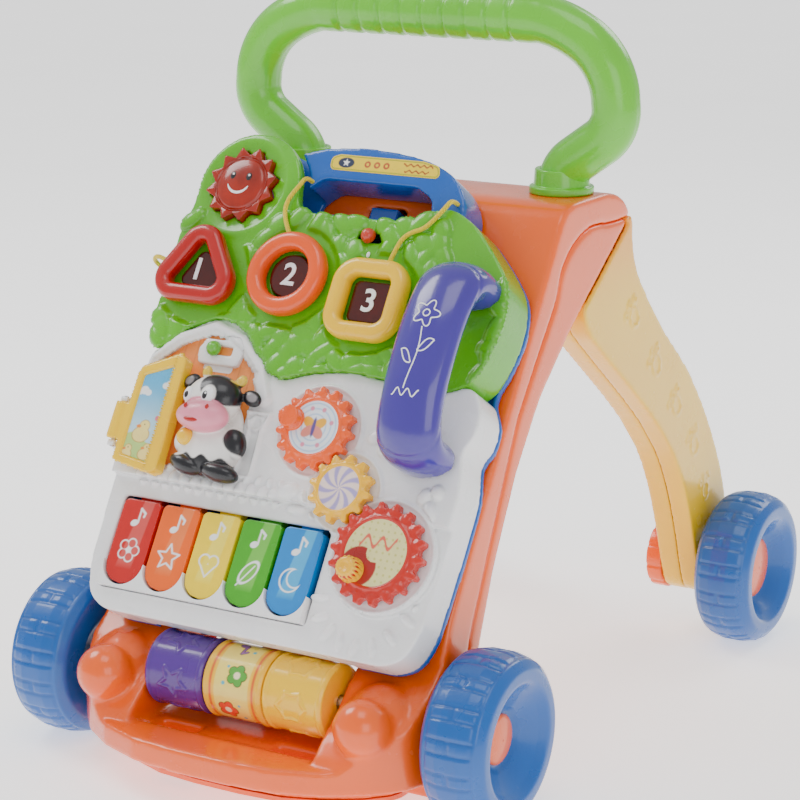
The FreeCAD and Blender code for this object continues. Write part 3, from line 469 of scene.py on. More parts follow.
# --- distances and marks, on arrays of points ---
def away(x, y, points, closed=True):
    """How far each point is from a line of points."""
    best = np.full(x.shape, 1e9)
    ends = points[1:] + points[:1] if closed else points[1:]
    for (ax, ay), (bx, by) in zip(points, ends):
        dx, dy = bx - ax, by - ay
        share = np.clip(((x - ax) * dx + (y - ay) * dy) / (dx * dx + dy * dy), 0, 1)
        best = np.minimum(best, np.hypot(x - ax - share * dx, y - ay - share * dy))
    return best


def inside(x, y, points):
    """Which points lie in an outline."""
    result = np.zeros(x.shape, bool)
    for (ax, ay), (bx, by) in zip(points, points[1:] + points[:1]):
        crosses = (ay > y) != (by > y)
        if by != ay:
            result ^= crosses & (x < ax + (bx - ax) * (y - ay) / (by - ay))
    return result


def soft(distance, width=0.5):
    """1 inside a shape and 0 outside, with a soft edge."""
    return np.clip(0.5 - distance / width, 0, 1)


def step_up(value, low, high):
    """A smooth rise from 0 to 1."""
    share = np.clip((value - low) / (high - low), 0, 1)
    return share * share * (3 - 2 * share)


def oval(x, y, cx, cy, a, b, turn=0.0):
    """A rough distance from an oval: negative inside."""
    c, s = math.cos(math.radians(turn)), math.sin(math.radians(turn))
    u, v = (x - cx) * c + (y - cy) * s, -(x - cx) * s + (y - cy) * c
    return (np.hypot(u / a, v / b) - 1) * min(a, b)


def dome(x, y, cx, cy, a, b, turn=0.0):
    """The height, up to 1, of a rounded bump on an oval."""
    c, s = math.cos(math.radians(turn)), math.sin(math.radians(turn))
    u, v = (x - cx) * c + (y - cy) * s, -(x - cx) * s + (y - cy) * c
    return np.sqrt(np.clip(1 - (u / a) ** 2 - (v / b) ** 2, 0, 1))


def star(cx, cy, outer, inner, points=5, turn=90.0):
    """The corners of a star."""
    return [(cx + r * math.cos(math.radians(turn + 180 * i / points)),
             cy + r * math.sin(math.radians(turn + 180 * i / points)))
            for i, r in enumerate([outer, inner] * points)]


def lay(colours, mask, colour):
    """Paint a colour over others where the mask is 1."""
    return colours * (1 - mask[:, None]) + np.asarray(colour) * mask[:, None]


def within(x, y, points):
    """Signed distance from an outline: negative inside."""
    return np.where(inside(x, y, points), -1, 1) * away(x, y, points)


# --- body, legs, hoop ---
def body():
    """The orange body: two shells with a parting line between them, and the blue release tab."""
    for half in ("front", "rear"):
        moulding(f"body_{half}", [f"body_{half}_shell"], "frame", "body",
                 voxel=1.7, rounds=12, place=WALKER)
    moulding("release_tab", ["panel_release_tab"], "release_tab", "case", 0.8, 4)


def foot_marks():
    """Places along a leg for raised animal-foot outlines: (y, z, size, turn)."""
    return [(246, 262, 9, 130), (283, 222, 9, 125), (318, 186, 9, 130), (350, 150, 9, 115),
            (371, 112, 8, 105), (384, 78, 7, 100)]


def leg_relief(points, normals):
    """Foot outlines raised on the flat sides of a leg."""
    y, z = points[:, 1], points[:, 2]
    height = np.zeros(len(points))
    for cy, cz, size, turn in foot_marks():
        pad = np.abs(oval(y, z, cy, cz, size * 0.62, size * 0.8, turn - 90))
        height = np.maximum(height, np.clip(1.2 - pad / 0.9, 0, 1))
        for toe in (-38, 0, 38):
            angle = math.radians(turn + toe)
            ty, tz = cy + 1.35 * size * math.cos(angle), cz + 1.35 * size * math.sin(angle)
            ring = np.abs(np.hypot(y - ty, z - tz) - size * 0.27)
            height = np.maximum(height, np.clip(1.2 - ring / 0.8, 0, 1))
    return np.where(np.abs(normals[:, 0]) > 0.8, height, 0)


def legs():
    """Yellow legs in two halves each, orange speed knobs at their feet."""
    for side in ("left", "right"):
        for half in ("inner", "outer"):
            moulding(f"leg_{side}_{half}_moulding", [f"leg_{side}_{half}"], "frame",
                     "leg", voxel=1.5, rounds=10, place=WALKER, relief=leg_relief)
        centre = middle(f"speed_knob_{side}") * 1000
        half = 5.85

        def flutes(x, radius, angle):
            return -0.9 * (math.sin(10 * angle) > 0.75) if radius > 20 else 0

        profile = rounded([(-half, 4.3), (half, 4.3), (half, 9), (half - 2.5, 12), (half - 2.5, 18),
                           (half, 20), (half, 24.5), (-half, 24.5), (-half, 20),
                           (-half + 2.5, 18), (-half + 2.5, 12), (-half, 9)], 1.2, 0.5)
        make(f"speed_dial_{side}", lathe(profile, 160, flutes),
             Matrix.Scale(MM, 4) @ Matrix.Translation(centre), f"speed_{side}",
             "body", [f"speed_knob_{side}"])


HOOP_CORNERS = [(98, 351), (98, 366), (137, 394), (133, 438), (92, 462)]
HOOP_RADII = [22, 25, 48, 78]
HOOP_TUBE = 16.3
HANDLE_Y = 192


def hoop_path():
    """Points along the push hoop's centre line, from foot to foot."""
    corners = HOOP_CORNERS + [(-x, z) for x, z in reversed(HOOP_CORNERS)]
    radii = HOOP_RADII + list(reversed(HOOP_RADII))
    path = [corners[0]]
    for i in range(1, len(corners) - 1):
        here = Vector(corners[i])
        before = (Vector(corners[i - 1]) - here).normalized()
        after = (Vector(corners[i + 1]) - here).normalized()
        half = before.angle(after) / 2
        reach = radii[i - 1] / math.tan(half)
        centre = here + (before + after).normalized() * radii[i - 1] / math.sin(half)
        first, last = here + before * reach - centre, here + after * reach - centre
        steps = max(4, int(radii[i - 1] * (math.pi - 2 * half) / 1.5))
        for j in range(steps + 1):
            spoke = first.lerp(last, j / steps).normalized() * radii[i - 1]
            path.append(tuple(centre + spoke))
    path.append(corners[-1])
    dense = []
    for a, b in zip(path, path[1:]):
        pieces = max(1, int((Vector(b) - Vector(a)).length / 1.2))
        dense += [tuple(Vector(a).lerp(Vector(b), k / pieces)) for k in range(pieces)]
    return dense + [path[-1]]


def hoop():
    """The green push hoop: a moulded tube with finger grooves, parting lines and collars."""
    path = hoop_path()
    grooves = [-64, -48, -32, -16, 0, 16, 32, 48, 64]

    def section(i, count):
        x, z = path[i]
        swell = 0.0
        if z > 440:
            swell = 0.9 - 1.9 * max(math.exp(-((x - g) / 1.7) ** 2) for g in grooves)
            swell *= min(1.0, max(0.0, (84 - abs(x)) / 8))
        points = []
        for j in range(72):
            angle = 2 * math.pi * j / 72
            seam = 0.35 * max(math.exp(-((angle - a) / 0.035) ** 2)
                              for a in (0, math.pi, 2 * math.pi))
            radius = HOOP_TUBE - 0.6 + swell - seam
            points.append((radius * math.cos(angle), radius * math.sin(angle)))
        return points

    upright = Matrix(((1, 0, 0, 0), (0, 0, 1, HANDLE_Y), (0, 1, 0, 0), (0, 0, 0, 1)))
    make("push_hoop", sweep(path, section), WALKER @ upright, "frame", "hoop",
         ["push_handle_front", "push_handle_rear"])
    profile = rounded([(0, 14), (0, 21), (5, 21), (5, 18.2), (16, 17.4), (16, 14)], 1.1, 0.4)
    upward = Matrix.Rotation(-math.pi / 2, 4, "Y")
    for side, name in ((-1, "left"), (1, "right")):
        place = WALKER @ Matrix.Translation((98 * side, HANDLE_Y, 351)) @ upward
        make(f"hoop_collar_{name}", lathe(profile, 96), place, "frame", "hoop")


def wheels():
    """Blue wheels with block tread and a deep dish, and domed orange hub caps."""
    for axle in ("front", "rear"):
        for side, name in ((-1, "left"), (1, "right")):
            node = f"wheel_{axle}_{name}"
            low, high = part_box(node)
            radius = (high.z - low.z) / 2 * 1000
            half = (high.x - low.x) / 2 * 1000
            cap_low, cap_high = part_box(f"hub_cap_{axle}_{name}")
            cap = (cap_high.z - cap_low.z) / 2 * 1000
            corners = [(-half + 3, 4.3), (5.6, 4.3), (5.6, cap + 1.5), (9, cap + 5),
                       (half - 5, radius * 0.60), (half, radius * 0.70), (half, radius * 0.84),
                       (half - 5, radius * 0.955), (half - 15, radius), (-half + 15, radius),
                       (-half + 5, radius * 0.955), (-half, radius * 0.84),
                       (-half, radius * 0.5), (-half + 4, radius * 0.3)]
            corners = dense_outline(rounded(corners, 5, 0.9), 1.1)

            def tread(x, r, angle, radius=radius):
                if r < radius * 0.88:
                    return 0
                around = (math.degrees(angle) / 22.5) % 1
                bars = max(math.exp(-((around - c) / 0.045) ** 2) for c in (0.30, 0.70))
                cross = math.exp(-(x / 1.3) ** 2) if 0.28 < around < 0.72 else 0
                edge = math.exp(-((abs(x) - 15.5) / 1.0) ** 2)
                return -1.25 * max(bars * (abs(x) < 15.5), cross, 0.7 * edge)

            flip = Matrix.Rotation(math.pi, 4, "Z") if side < 0 else Matrix.Identity(4)
            place = (Matrix.Scale(MM, 4) @ Matrix.Translation((low + high) / 2 * 1000) @ flip)
            body_name = f"wheel_{axle}_{name}"
            make(f"{node}_tyre", lathe(corners, 300, tread), place, body_name,
                 "wheel", [node])
            dome_profile = [(-1.3, 0.01), (-1.3, cap - 0.2), (0.4, cap - 0.2), (1.1, cap - 1.0)]
            dome_profile += [(1.3 + 1.9 * (1 - (r / cap) ** 2), r * 1.0)
                             for r in np.linspace(cap - 2.2, 0.01, 14)]
            place = (Matrix.Scale(MM, 4) @ Matrix.Translation((cap_low + cap_high) / 2 * 1000)
                     @ flip)
            make(f"{node}_cap", lathe(dome_profile, 96), place, body_name, "hub",
                 [f"hub_cap_{axle}_{name}"])


def dense_outline(points, step):
    """The same closed outline with points no further apart than a step."""
    result = []
    for a, b in zip(points, points[1:] + points[:1]):
        pieces = max(1, int((Vector(b) - Vector(a)).length / step))
        result += [tuple(Vector(a).lerp(Vector(b), k / pieces)) for k in range(pieces)]
    return result


# --- rollers ---
DRUM_RADIUS, DRUM_HALF = 24.0, 21.45


def drum_mark(x, along, kind):
    """Height of the raised marks on a drum; along is the distance round it."""
    pitch = 2 * math.pi * DRUM_RADIUS / 5
    cell = (along + 1000 * pitch) % pitch - pitch / 2
    if kind == "star":
        outline = star(0, 0, 11, 5.2)
    else:
        outline = star(0, 0, 10.5, 8.0, 6, 0)
    ring = np.abs(within(np.array([x]), np.array([cell]), outline))[0]
    return 0.9 * max(0.0, 1 - (ring / 1.3) ** 2)


def picture_band(x, y, z):
    """Stripes at both ends of the picture drum and a band of flowers, notes and leaves."""
    angle = np.arctan2(z, y)
    along = angle * DRUM_RADIUS
    colours = np.tile(rgb("FBC21A"), (len(x), 1))
    colours = lay(colours, soft(np.abs(x) - 12.5, 0.6), rgb("FBE36A"))
    for edge in (-15.5, 15.5):
        colours = lay(colours, soft(np.abs(x - edge) - 0.9, 0.5), rgb("E4601C"))
    pitch = 2 * math.pi * DRUM_RADIUS / 6
    kinds = ("E2462A", "4A7FC8", "57A83A", "E2462A", "8E57B0", "57A83A")
    for i, code in enumerate(kinds):
        centre = (i - 2.5) * pitch
        cell = (along - centre + 500 * 6 * pitch + 3 * pitch) % (6 * pitch) - 3 * pitch
        shift = (-3.5, 3.0)[i % 2]
        if i % 3 == 1:
            shape = oval(x, cell, shift, 0, 3.0, 2.3, 20)
            shape = np.minimum(shape, away(x, cell, [(shift + 2.6, 0), (shift + 2.6, 9)], False) - 0.6)
            shape = np.minimum(shape, away(x, cell, [(shift + 2.6, 9), (shift + 5.5, 7)], False) - 0.8)
        else:
            petals = [np.hypot(x - shift - 4.2 * math.cos(t), cell - 4.2 * math.sin(t)) - 2.8
                      for t in np.linspace(0, 2 * math.pi, 6)[:-1]]
            shape = np.minimum.reduce(petals)
        colours = lay(colours, soft(shape - 0.5, 0.4), rgb("3A2A1E"))
        colours = lay(colours, soft(shape, 0.4), rgb(code))
        if i % 3 != 1:
            colours = lay(colours, soft(np.hypot(x - shift, cell) - 2.4, 0.4), rgb("FFF2C0"))
        dots = np.minimum(np.hypot(x + shift * 2, cell - 6) - 1.3,
                          np.hypot(x + shift * 1.6, cell + 5) - 1.0)
        colours = lay(colours, soft(dots, 0.4), rgb("4FB5C9"))
    return colours


def rollers():
    """Three drums: stars on purple, a printed band, and flowers on yellow."""
    corners = [(-DRUM_HALF, 4.2), (DRUM_HALF, 4.2), (DRUM_HALF, DRUM_RADIUS - 0.8),
               (-DRUM_HALF, DRUM_RADIUS - 0.8)]
    for name, kind, look, slot in (("purple", "star", "drum_purple", "drum_purple"),
                                   ("picture", None, "print", "drum_picture"),
                                   ("yellow", "flower", "drum_yellow", "drum_yellow")):
        profile = dense_outline(rounded(corners, 1.4, 0.4), 0.6)

        def shape(x, radius, angle, kind=kind):
            rim = 0.9 * (1 - (min(1, abs(abs(x) - DRUM_HALF + 2.6) / 1.6)) ** 2)
            if radius < DRUM_RADIUS - 1.5:
                return 0
            return max(0, rim, drum_mark(x, angle * DRUM_RADIUS, kind) if kind else 0)

        centre = middle(f"roller_{name}") * 1000
        make(f"drum_{name}_skin", lathe(profile, 300, shape),
             Matrix.Scale(MM, 4) @ Matrix.Translation(centre), f"drum_{name}", look,
             [f"roller_{name}"], paint=picture_band if kind is None else None)


# --- the panel's shells ---
SUN = (-88.0, 257.0)
RING = {"triangle": (-97, 193), "circle": (-31, 198.5), "square": (31.5, 187.5)}
BARN = [(-113, 66), (-36, 66), (-36, 132), (-56, 150), (-76, 156), (-98, 146), (-113, 132)]
GEAR = {"orange": (20.2, 102.2, 27.0), "yellow": (49.9, 67.2, 22.1), "red": (87, 31.9, 32.3)}
TEETH = {"orange": 15, "yellow": 12, "red": 18}
HANDSET_P = 98


LEFT_TETHER = [(-45, 234), (-49, 243), (-47, 255)]
RIGHT_TETHER = [(39, 222), (42, 231), (55, 239), (66, 254)]


def leaf_places():
    """Where the leaf bumps go, away from everything that stands on the green shell."""
    chance = random.Random(11)
    places = []
    while len(places) < 110 and chance.random() > 0.0004:
        p, q = chance.uniform(-122, 124), chance.uniform(132, 243)
        clear = [math.hypot(p - SUN[0], q - SUN[1]) - 40, math.hypot(p - 16, q - 231) - 13]
        clear += [math.hypot(p - c[0], q - c[1]) - 35 for c in RING.values()]
        for line in (LEFT_TETHER, RIGHT_TETHER):
            clear.append(away(np.array([p]), np.array([q]), line, False)[0] - 6)
        if HANDSET_P - 26 < p < HANDSET_P + 22:
            clear.append(-1)
        if min(clear) > 0 and all(math.hypot(p - a, q - b) > 8.5 for a, b, *_ in places):
            places.append((p, q, chance.uniform(9, 14), chance.uniform(5.5, 8),
                           chance.uniform(20, 160)))
    return places


def green_relief(points, normals):
    """Leaves scattered over the crown, moats round the shape pieces, and the sun's disc."""
    p, q, n = points.T
    height = np.zeros(len(points))
    for cp, cq, a, b, turn in leaf_places():
        height = np.maximum(height, 3.4 * dome(p, q, cp, cq, a, b, turn))
    height = np.maximum(height, 0)
    for centre in RING.values():
        near = np.hypot(p - centre[0], q - centre[1])
        height = np.where(near < 36, height * step_up(near, 31, 36), height)
    height += 1.4 * np.exp(-((np.hypot(p - SUN[0], q - SUN[1]) - 33) / 4.0) ** 2)
    cradle = np.hypot((p - HANDSET_P) / 1.0, (q - 194) / 1.0)
    height -= 2.0 * np.exp(-(cradle / 14) ** 4)
    return np.where(normals[:, 2] > 0.6, height, 0)


def white_relief(points, normals):
    """The barn's roof border, vegetables in a row, a tree trunk, grass, and gear wells."""
    p, q, n = points.T
    roof = [(-117, 120), (-113, 134), (-98, 149), (-76, 159), (-54, 152), (-35, 135), (-26, 118)]
    height = 3.2 * np.clip(1.3 - (away(p, q, roof, False) / 5.2) ** 2, 0, 1)
    for i, cp in enumerate(np.arange(-100, 4, 8.4)):
        height = np.maximum(height, 2.6 * dome(p, q, cp, 57, 3.6, 6.2, 8 * math.sin(i * 2.1)))
        height = np.maximum(height, 1.6 * dome(p, q, cp + 3, 65, 2.0, 3.4, 30 * math.cos(i)))
    for cp, cq, a, b, turn in ((10, 62, 8, 5, 20), (24, 60, 6, 4, -20), (16, 53, 7, 4, 5),
                               (30, 52, 5, 4, 30), (60, 104, 6, 4, 40), (68, 96, 5, 3.5, -30),
                               (70, 108, 6, 4, 0), (110, 62, 5, 8, 10), (104, 72, 4, 6, -20),
                               (112, 76, 4, 5, 30), (114, 50, 4, 7, 0)):
        height = np.maximum(height, 2.4 * dome(p, q, cp, cq, a, b, turn))
    for cp, cq, turn in ((54, -10, 20), (62, -18, 60), (71, -22, 95), (82, -24, 80), (94, -22, 110),
                         (104, -14, 140), (112, -2, 150), (114, 10, 100), (50, 2, 10)):
        height = np.maximum(height, 2.0 * dome(p, q, cp, cq, 6.5, 2.6, turn))
    trunk = within(p, q, [(-32, 66), (-30, 96), (-34, 108), (-18, 108), (-21, 96), (-20, 66)])
    height = np.maximum(height, 1.8 * np.clip(1.2 - (np.abs(trunk) / 1.3) ** 2, 0, 1))
    swirl = np.abs(np.hypot(p + 26, q - 101) - 4.5)
    height = np.maximum(height, 1.6 * np.clip(1.2 - (swirl / 1.2) ** 2, 0, 1))
    for cp, cq, radius in GEAR.values():
        ring = np.hypot(p - cp, q - cq) - radius - 2.6
        height = np.where(ring < 2.5, np.minimum(height, 0), height)
        height += 1.3 * np.exp(-(ring / 1.3) ** 2)
    height = np.where(away(p, q, BARN) < 2.2, np.minimum(height, 2.2), height)
    frame_zone = oval(p, q, -68, 144, 19, 12)
    height = np.where((frame_zone < 1) & inside(p, q, BARN), 0, height)
    label = within(p, q, rounded([(-79, 131), (-57, 131), (-57, 137), (-79, 137)], 2.5))
    height = np.where(label < 0, 0, height)
    return np.where((normals[:, 2] > 0.6) & (n > 20), 1.3 * height, 0)


def shells():
    """Blue case with its carrying arch, white farm shell and green leaf shell."""
    moulding("back_case", ["panel_back_case"], "panel", "case", 1.2, 8)
    moulding("farm_shell", ["panel_white_shell"], "panel", "white", 1.0, 7,
             relief=white_relief)
    moulding("crown_shell", ["panel_green_shell"], "panel", "leaf", 1.1, 7,
             relief=green_relief)
    label = rounded([(-33, 277.5), (49, 277.5), (46, 286), (34, 288.5), (-28, 288.5), (-34, 286)],
                    3.6)

    def label_print(x, y, z):
        colours = np.tile(rgb("F7D51C"), (len(x), 1))
        edge = -within(x, y, label)
        colours = lay(colours, soft(np.abs(edge - 1.0) - 0.3, 0.3), rgb("8A9A1A"))
        colours = lay(colours, soft(oval(x, y, -22, 283, 6, 3.6), 0.4), rgb("1C2A4A"))
        colours = lay(colours, soft(within(x, y, star(-22, 283, 2.7, 1.2)), 0.3), SNOW)
        for cp in (-6, 1, 8):
            colours = lay(colours, soft(np.hypot(x - cp, y - 283) - 2.3, 0.4), rgb("B8452A"))
            colours = lay(colours, soft(np.hypot(x - cp, y - 283) - 1.0, 0.4), rgb("F7D51C"))
        for line, (a, b) in enumerate(((20, 42), (22, 40))):
            wave = y - (285 - 4.2 * line) - 0.7 * np.sin(x * 1.3)
            mask = soft(np.abs(wave) - 0.55, 0.3) * (x > a) * (x < b)
            colours = lay(colours, mask, rgb("A5401E"))
        return colours

    make("carry_label", plate(label, 29.6, 30.25), PANEL, "panel", "print",
         paint=label_print)


# --- sun, rings, numbers ---
def sun_relief(points, normals):
    """The sun's domed face inside a shallow groove, and a fold along each ray."""
    x, y = points[:, 0] - SUN[0], points[:, 1] - SUN[1]
    radius = np.hypot(x, y)
    ray = np.abs(((np.arctan2(y, x) * 12 / (2 * math.pi)) % 1) - 0.5) * 2
    face = 3.4 * np.sqrt(np.clip(1 - (radius / 18) ** 2, 0, 1))
    fold = 0.9 * (1 - ray) * step_up(radius, 18.5, 20)
    groove = 0.7 * np.exp(-((radius - 18.4) / 0.9) ** 2)
    return np.where(normals[:, 2] > 0.6, face + fold - groove, 0)


def sun():
    """A smiling sun lens with twelve rays."""
    moulding("sun_face", ["sun_lens"], "panel", "sun", 0.5, 5, relief=sun_relief)
    place = PANEL @ Matrix.Translation((*SUN, 0))
    for name, x in (("left", -5.8), ("right", 6.4)):
        bm = bmesh.new()
        ball(bm, (x, 4.4, 44.9), (2.0, 2.7, 1.0))
        make(f"sun_eye_{name}", bm, place, "panel", "black")
        bm = bmesh.new()
        ball(bm, (x + 0.5, 5.2, 45.8), (0.8, 0.8, 0.35))
        make(f"sun_glint_{name}", bm, place, "panel", "snow")
    smile = [(8.6 * math.cos(math.radians(a)), 1.5 + 8.6 * math.sin(math.radians(a)))
             for a in np.linspace(205, 335, 26)]
    make("sun_smile", sweep(smile, lambda i, c: [(s, 44.6 + u) for s, u in squircle(
        1.1 * math.sin(math.pi * (i + 1) / (c + 1)) ** 0.5, 1.0, 2, 14)]), place, "panel",
         "snow")


def triangle_points(radius, centre):
    """Corners of the triangle piece's centre line."""
    return [(centre[0] + radius * math.cos(math.radians(a)),
             centre[1] + radius * math.sin(math.radians(a))) for a in (-26, 96, 206)]


def shape_pieces():
    """Three thick round-edged rings and the numbered windows inside them."""
    low, high = 38.5, 51.5
    section = [(s, (low + high) / 2 + u) for s, u in squircle(5.9, 6.4, 2.5, 36)]
    p, q = RING["square"]
    square = [(p + 21, q - 21), (p + 21, q + 21), (p - 21, q + 21), (p - 21, q - 21)]
    p, q = RING["circle"]
    circle = [(p + 22.2 * math.cos(2 * math.pi * i / 120), q + 22.2 * math.sin(2 * math.pi * i / 120))
              for i in range(120)]
    lines = {"triangle": rounded(triangle_points(35.3, RING["triangle"]), 10, 1.0),
             "circle": circle, "square": rounded(square, 11, 1.0)}
    colours = {"triangle": "red", "circle": "orange", "square": "yellow"}
    for name, line in lines.items():
        make(f"{name}_ring", sweep(dense_outline(line, 1.5), lambda i, c: section, True), PANEL,
             f"{name}_piece", f"ring_{colours[name]}", [f"shape_{name}"])
    for number, name in ((1, "triangle"), (2, "circle"), (3, "square")):
        moulding(f"window_{number}", [f"number_button_{number}"], f"button_{number}",
                 "window", 0.7, 5)
        text = bpy.data.curves.new(f"digit_{number}", "FONT")
        text.body = str(number)
        text.size = 21
        text.offset = 0.35
        text.extrude = 0.3
        text.align_x, text.align_y = "CENTER", "CENTER"
        shape = bpy.data.objects.new("digit", text)
        bpy.context.scene.collection.objects.link(shape)
        mesh = bpy.data.meshes.new_from_object(
            shape.evaluated_get(bpy.context.evaluated_depsgraph_get()))
        bpy.data.objects.remove(shape)
        p, q = RING[name]
        across, up = (-3.5, 2) if number == 1 else (0, 0)
        mesh.transform(PANEL @ Matrix.Translation((p + across, q + up, 42.4)))
        finish_piece(f"number_{number}", mesh, f"button_{number}", "snow")


# --- keys ---
KEY_FIRST, KEY_PITCH = -93.5, 30.4


def note_mark(x, y, cx, cy):
    """An eighth note: its head, its stem and its flag."""
    head = oval(x, y, cx - 1.4, cy - 3.4, 2.3, 1.7, 20)
    stem = away(x, y, [(cx + 0.6, cy - 3), (cx + 0.6, cy + 4.5)], False) - 0.5
    flag = away(x, y, [(cx + 0.6, cy + 4.3), (cx + 3.6, cy + 2.2), (cx + 3.2, cy + 0.4)], False)
    return np.minimum(np.minimum(head, stem), flag - 0.6)


def key_mark(index, x, y, cx, cy):
    """A small white line picture for each key: flower, star, heart, leaf and moon."""
    if index == 0:
        petals = [np.hypot(x - cx - 3.6 * math.cos(t), y - cy - 3.6 * math.sin(t)) - 2.4
                  for t in np.linspace(0, 2 * math.pi, 6)[:-1]]
        return np.minimum(np.abs(np.minimum.reduce(petals)) - 0.35, np.hypot(x - cx, y - cy) - 1.6)
    if index == 1:
        return np.abs(within(x, y, star(cx, cy, 6.6, 3.0))) - 0.45
    if index == 2:
        heart = np.minimum(np.hypot(x - cx - 2.4, y - cy - 1.8) - 3.0,
                           np.hypot(x - cx + 2.4, y - cy - 1.8) - 3.0)
        heart = np.minimum(heart, within(x, y, [(cx - 5, cy + 0.6), (cx + 5, cy + 0.6),
                                                (cx, cy - 6)]))
        return np.abs(heart) - 0.4
    if index == 3:
        leaf = np.abs(oval(x, y, cx, cy, 6.4, 3.4, 55)) - 0.4
        return np.minimum(leaf, away(x, y, [(cx - 5, cy - 7), (cx + 2.5, cy + 3.5)], False) - 0.35)
    moon = np.maximum(np.hypot(x - cx, y - cy) - 5.6, 4.6 - np.hypot(x - cx - 2.6, y - cy - 1.4))
    return np.abs(moon) - 0.4


def key_bed():
    """The white rim under the keys' round ends."""
    outline = [(-110.2, -16.7), (44.2, -16.7)]
    for index in reversed(range(len(KEY_COLOURS))):
        centre = KEY_FIRST + index * KEY_PITCH
        outline += [(centre + 15 * math.cos(a), 15 * math.sin(a))
                    for a in np.linspace(0, -math.pi, 25)]
    bm = bmesh.new()
    prism(bm, outline, 26, 35)
    make("key_bed", bm, PANEL, "panel", "white", sharp=35)


def keys():
    """Five glossy keys, each with a paler stripe painted on as the highlight of a lit facet, a note
    and a small picture.
    """
    key_bed()
    for index, (name, (deep, pale)) in enumerate(KEY_COLOURS.items()):
        centre = KEY_FIRST + index * KEY_PITCH

        def paint(x, y, z, index=index, centre=centre, deep=deep, pale=pale):
            colours = np.tile(rgb(deep), (len(x), 1))
            # Painted highlight: the paler stripe stands for a facet of the key catching the light.
            lit_facet_stripe = within(x, y, [(centre + 1.5, 42), (centre + 9.6, 42), (centre + 5.5, -4),
                                   (centre - 6.5, -4)])
            colours = lay(colours, soft(lit_facet_stripe, 0.8) * step_up(y, -6, 2), rgb(pale))
            upper = note_mark((x - centre) / 1.25, (y - 30) / 1.25, 0, 0)
            lower = key_mark(index, (x - centre) / 1.3, (y - 8) / 1.3, 0, 0)
            marks = np.where(z > 30, soft(np.minimum(upper, lower), 0.35), 0)
            return lay(colours, marks, SNOW)

        moulding(f"{name}_key_cap", [f"key_{name}"], f"{name}_key", "glossy",
                 0.5, 10, paint=paint)


# --- gears ---
def gear_print(kind, x, y):
    """The printed centre of a gear, in the gear's own (x, y)."""
    radius, angle = np.hypot(x, y), np.arctan2(y, x)
    if kind == "orange":
        colours = np.tile(rgb("E9F1F8"), (len(x), 1))
        for ring in (5, 8.5, 12, 15.5):
            colours = lay(colours, soft(np.abs(radius - ring) - 0.5, 0.4), rgb("B9CFEA"))
        for wing, code in ((35, "F3B22E"), (145, "F3B22E"), (-40, "E58A7A"), (220, "E58A7A")):
            c, s = 4.6 * math.cos(math.radians(wing)), 4.6 * math.sin(math.radians(wing))
            colours = lay(colours, soft(oval(x, y, c, s, 5, 3.2, wing), 0.4), rgb(code))
        colours = lay(colours, soft(oval(x, y, 0, 0, 1.3, 6.5), 0.4), rgb("5A4A8C"))
        for t in (20, 70, 110, 250, 300):
            c, s = 12.5 * math.cos(math.radians(t)), 12.5 * math.sin(math.radians(t))
            colours = lay(colours, soft(np.hypot(x - c, y - s) - 1.5, 0.4), rgb("E98BA6"))
        return colours
    if kind == "yellow":
        twist = (angle * 9 / (2 * math.pi) + radius / 17) % 1
        colours = np.tile(rgb("F4DCD2"), (len(x), 1))
        return lay(colours, soft(np.abs(twist - 0.5) - 0.22, 0.12), rgb("A99BD0"))
    colours = np.tile(rgb("E5DE9A"), (len(x), 1))
    spots = np.hypot((x + 50) % 4.4 - 2.2, (y + 50) % 4.4 - 2.2) - 0.75
    colours = lay(colours, soft(spots, 0.4), rgb("C9C46A"))
    wave = y - 6.5 - 3.2 * np.sin(x * 0.62)
    mask = soft(np.abs(wave) - 1.3, 0.5) * (np.abs(x) < 12.5)
    colours = lay(colours, mask, rgb("E0604A"))
    near = np.hypot(x + 9.5, y + 10)
    return lay(colours, soft(near - 12.5, 0.4) * (radius > 6), rgb("A3201A"))


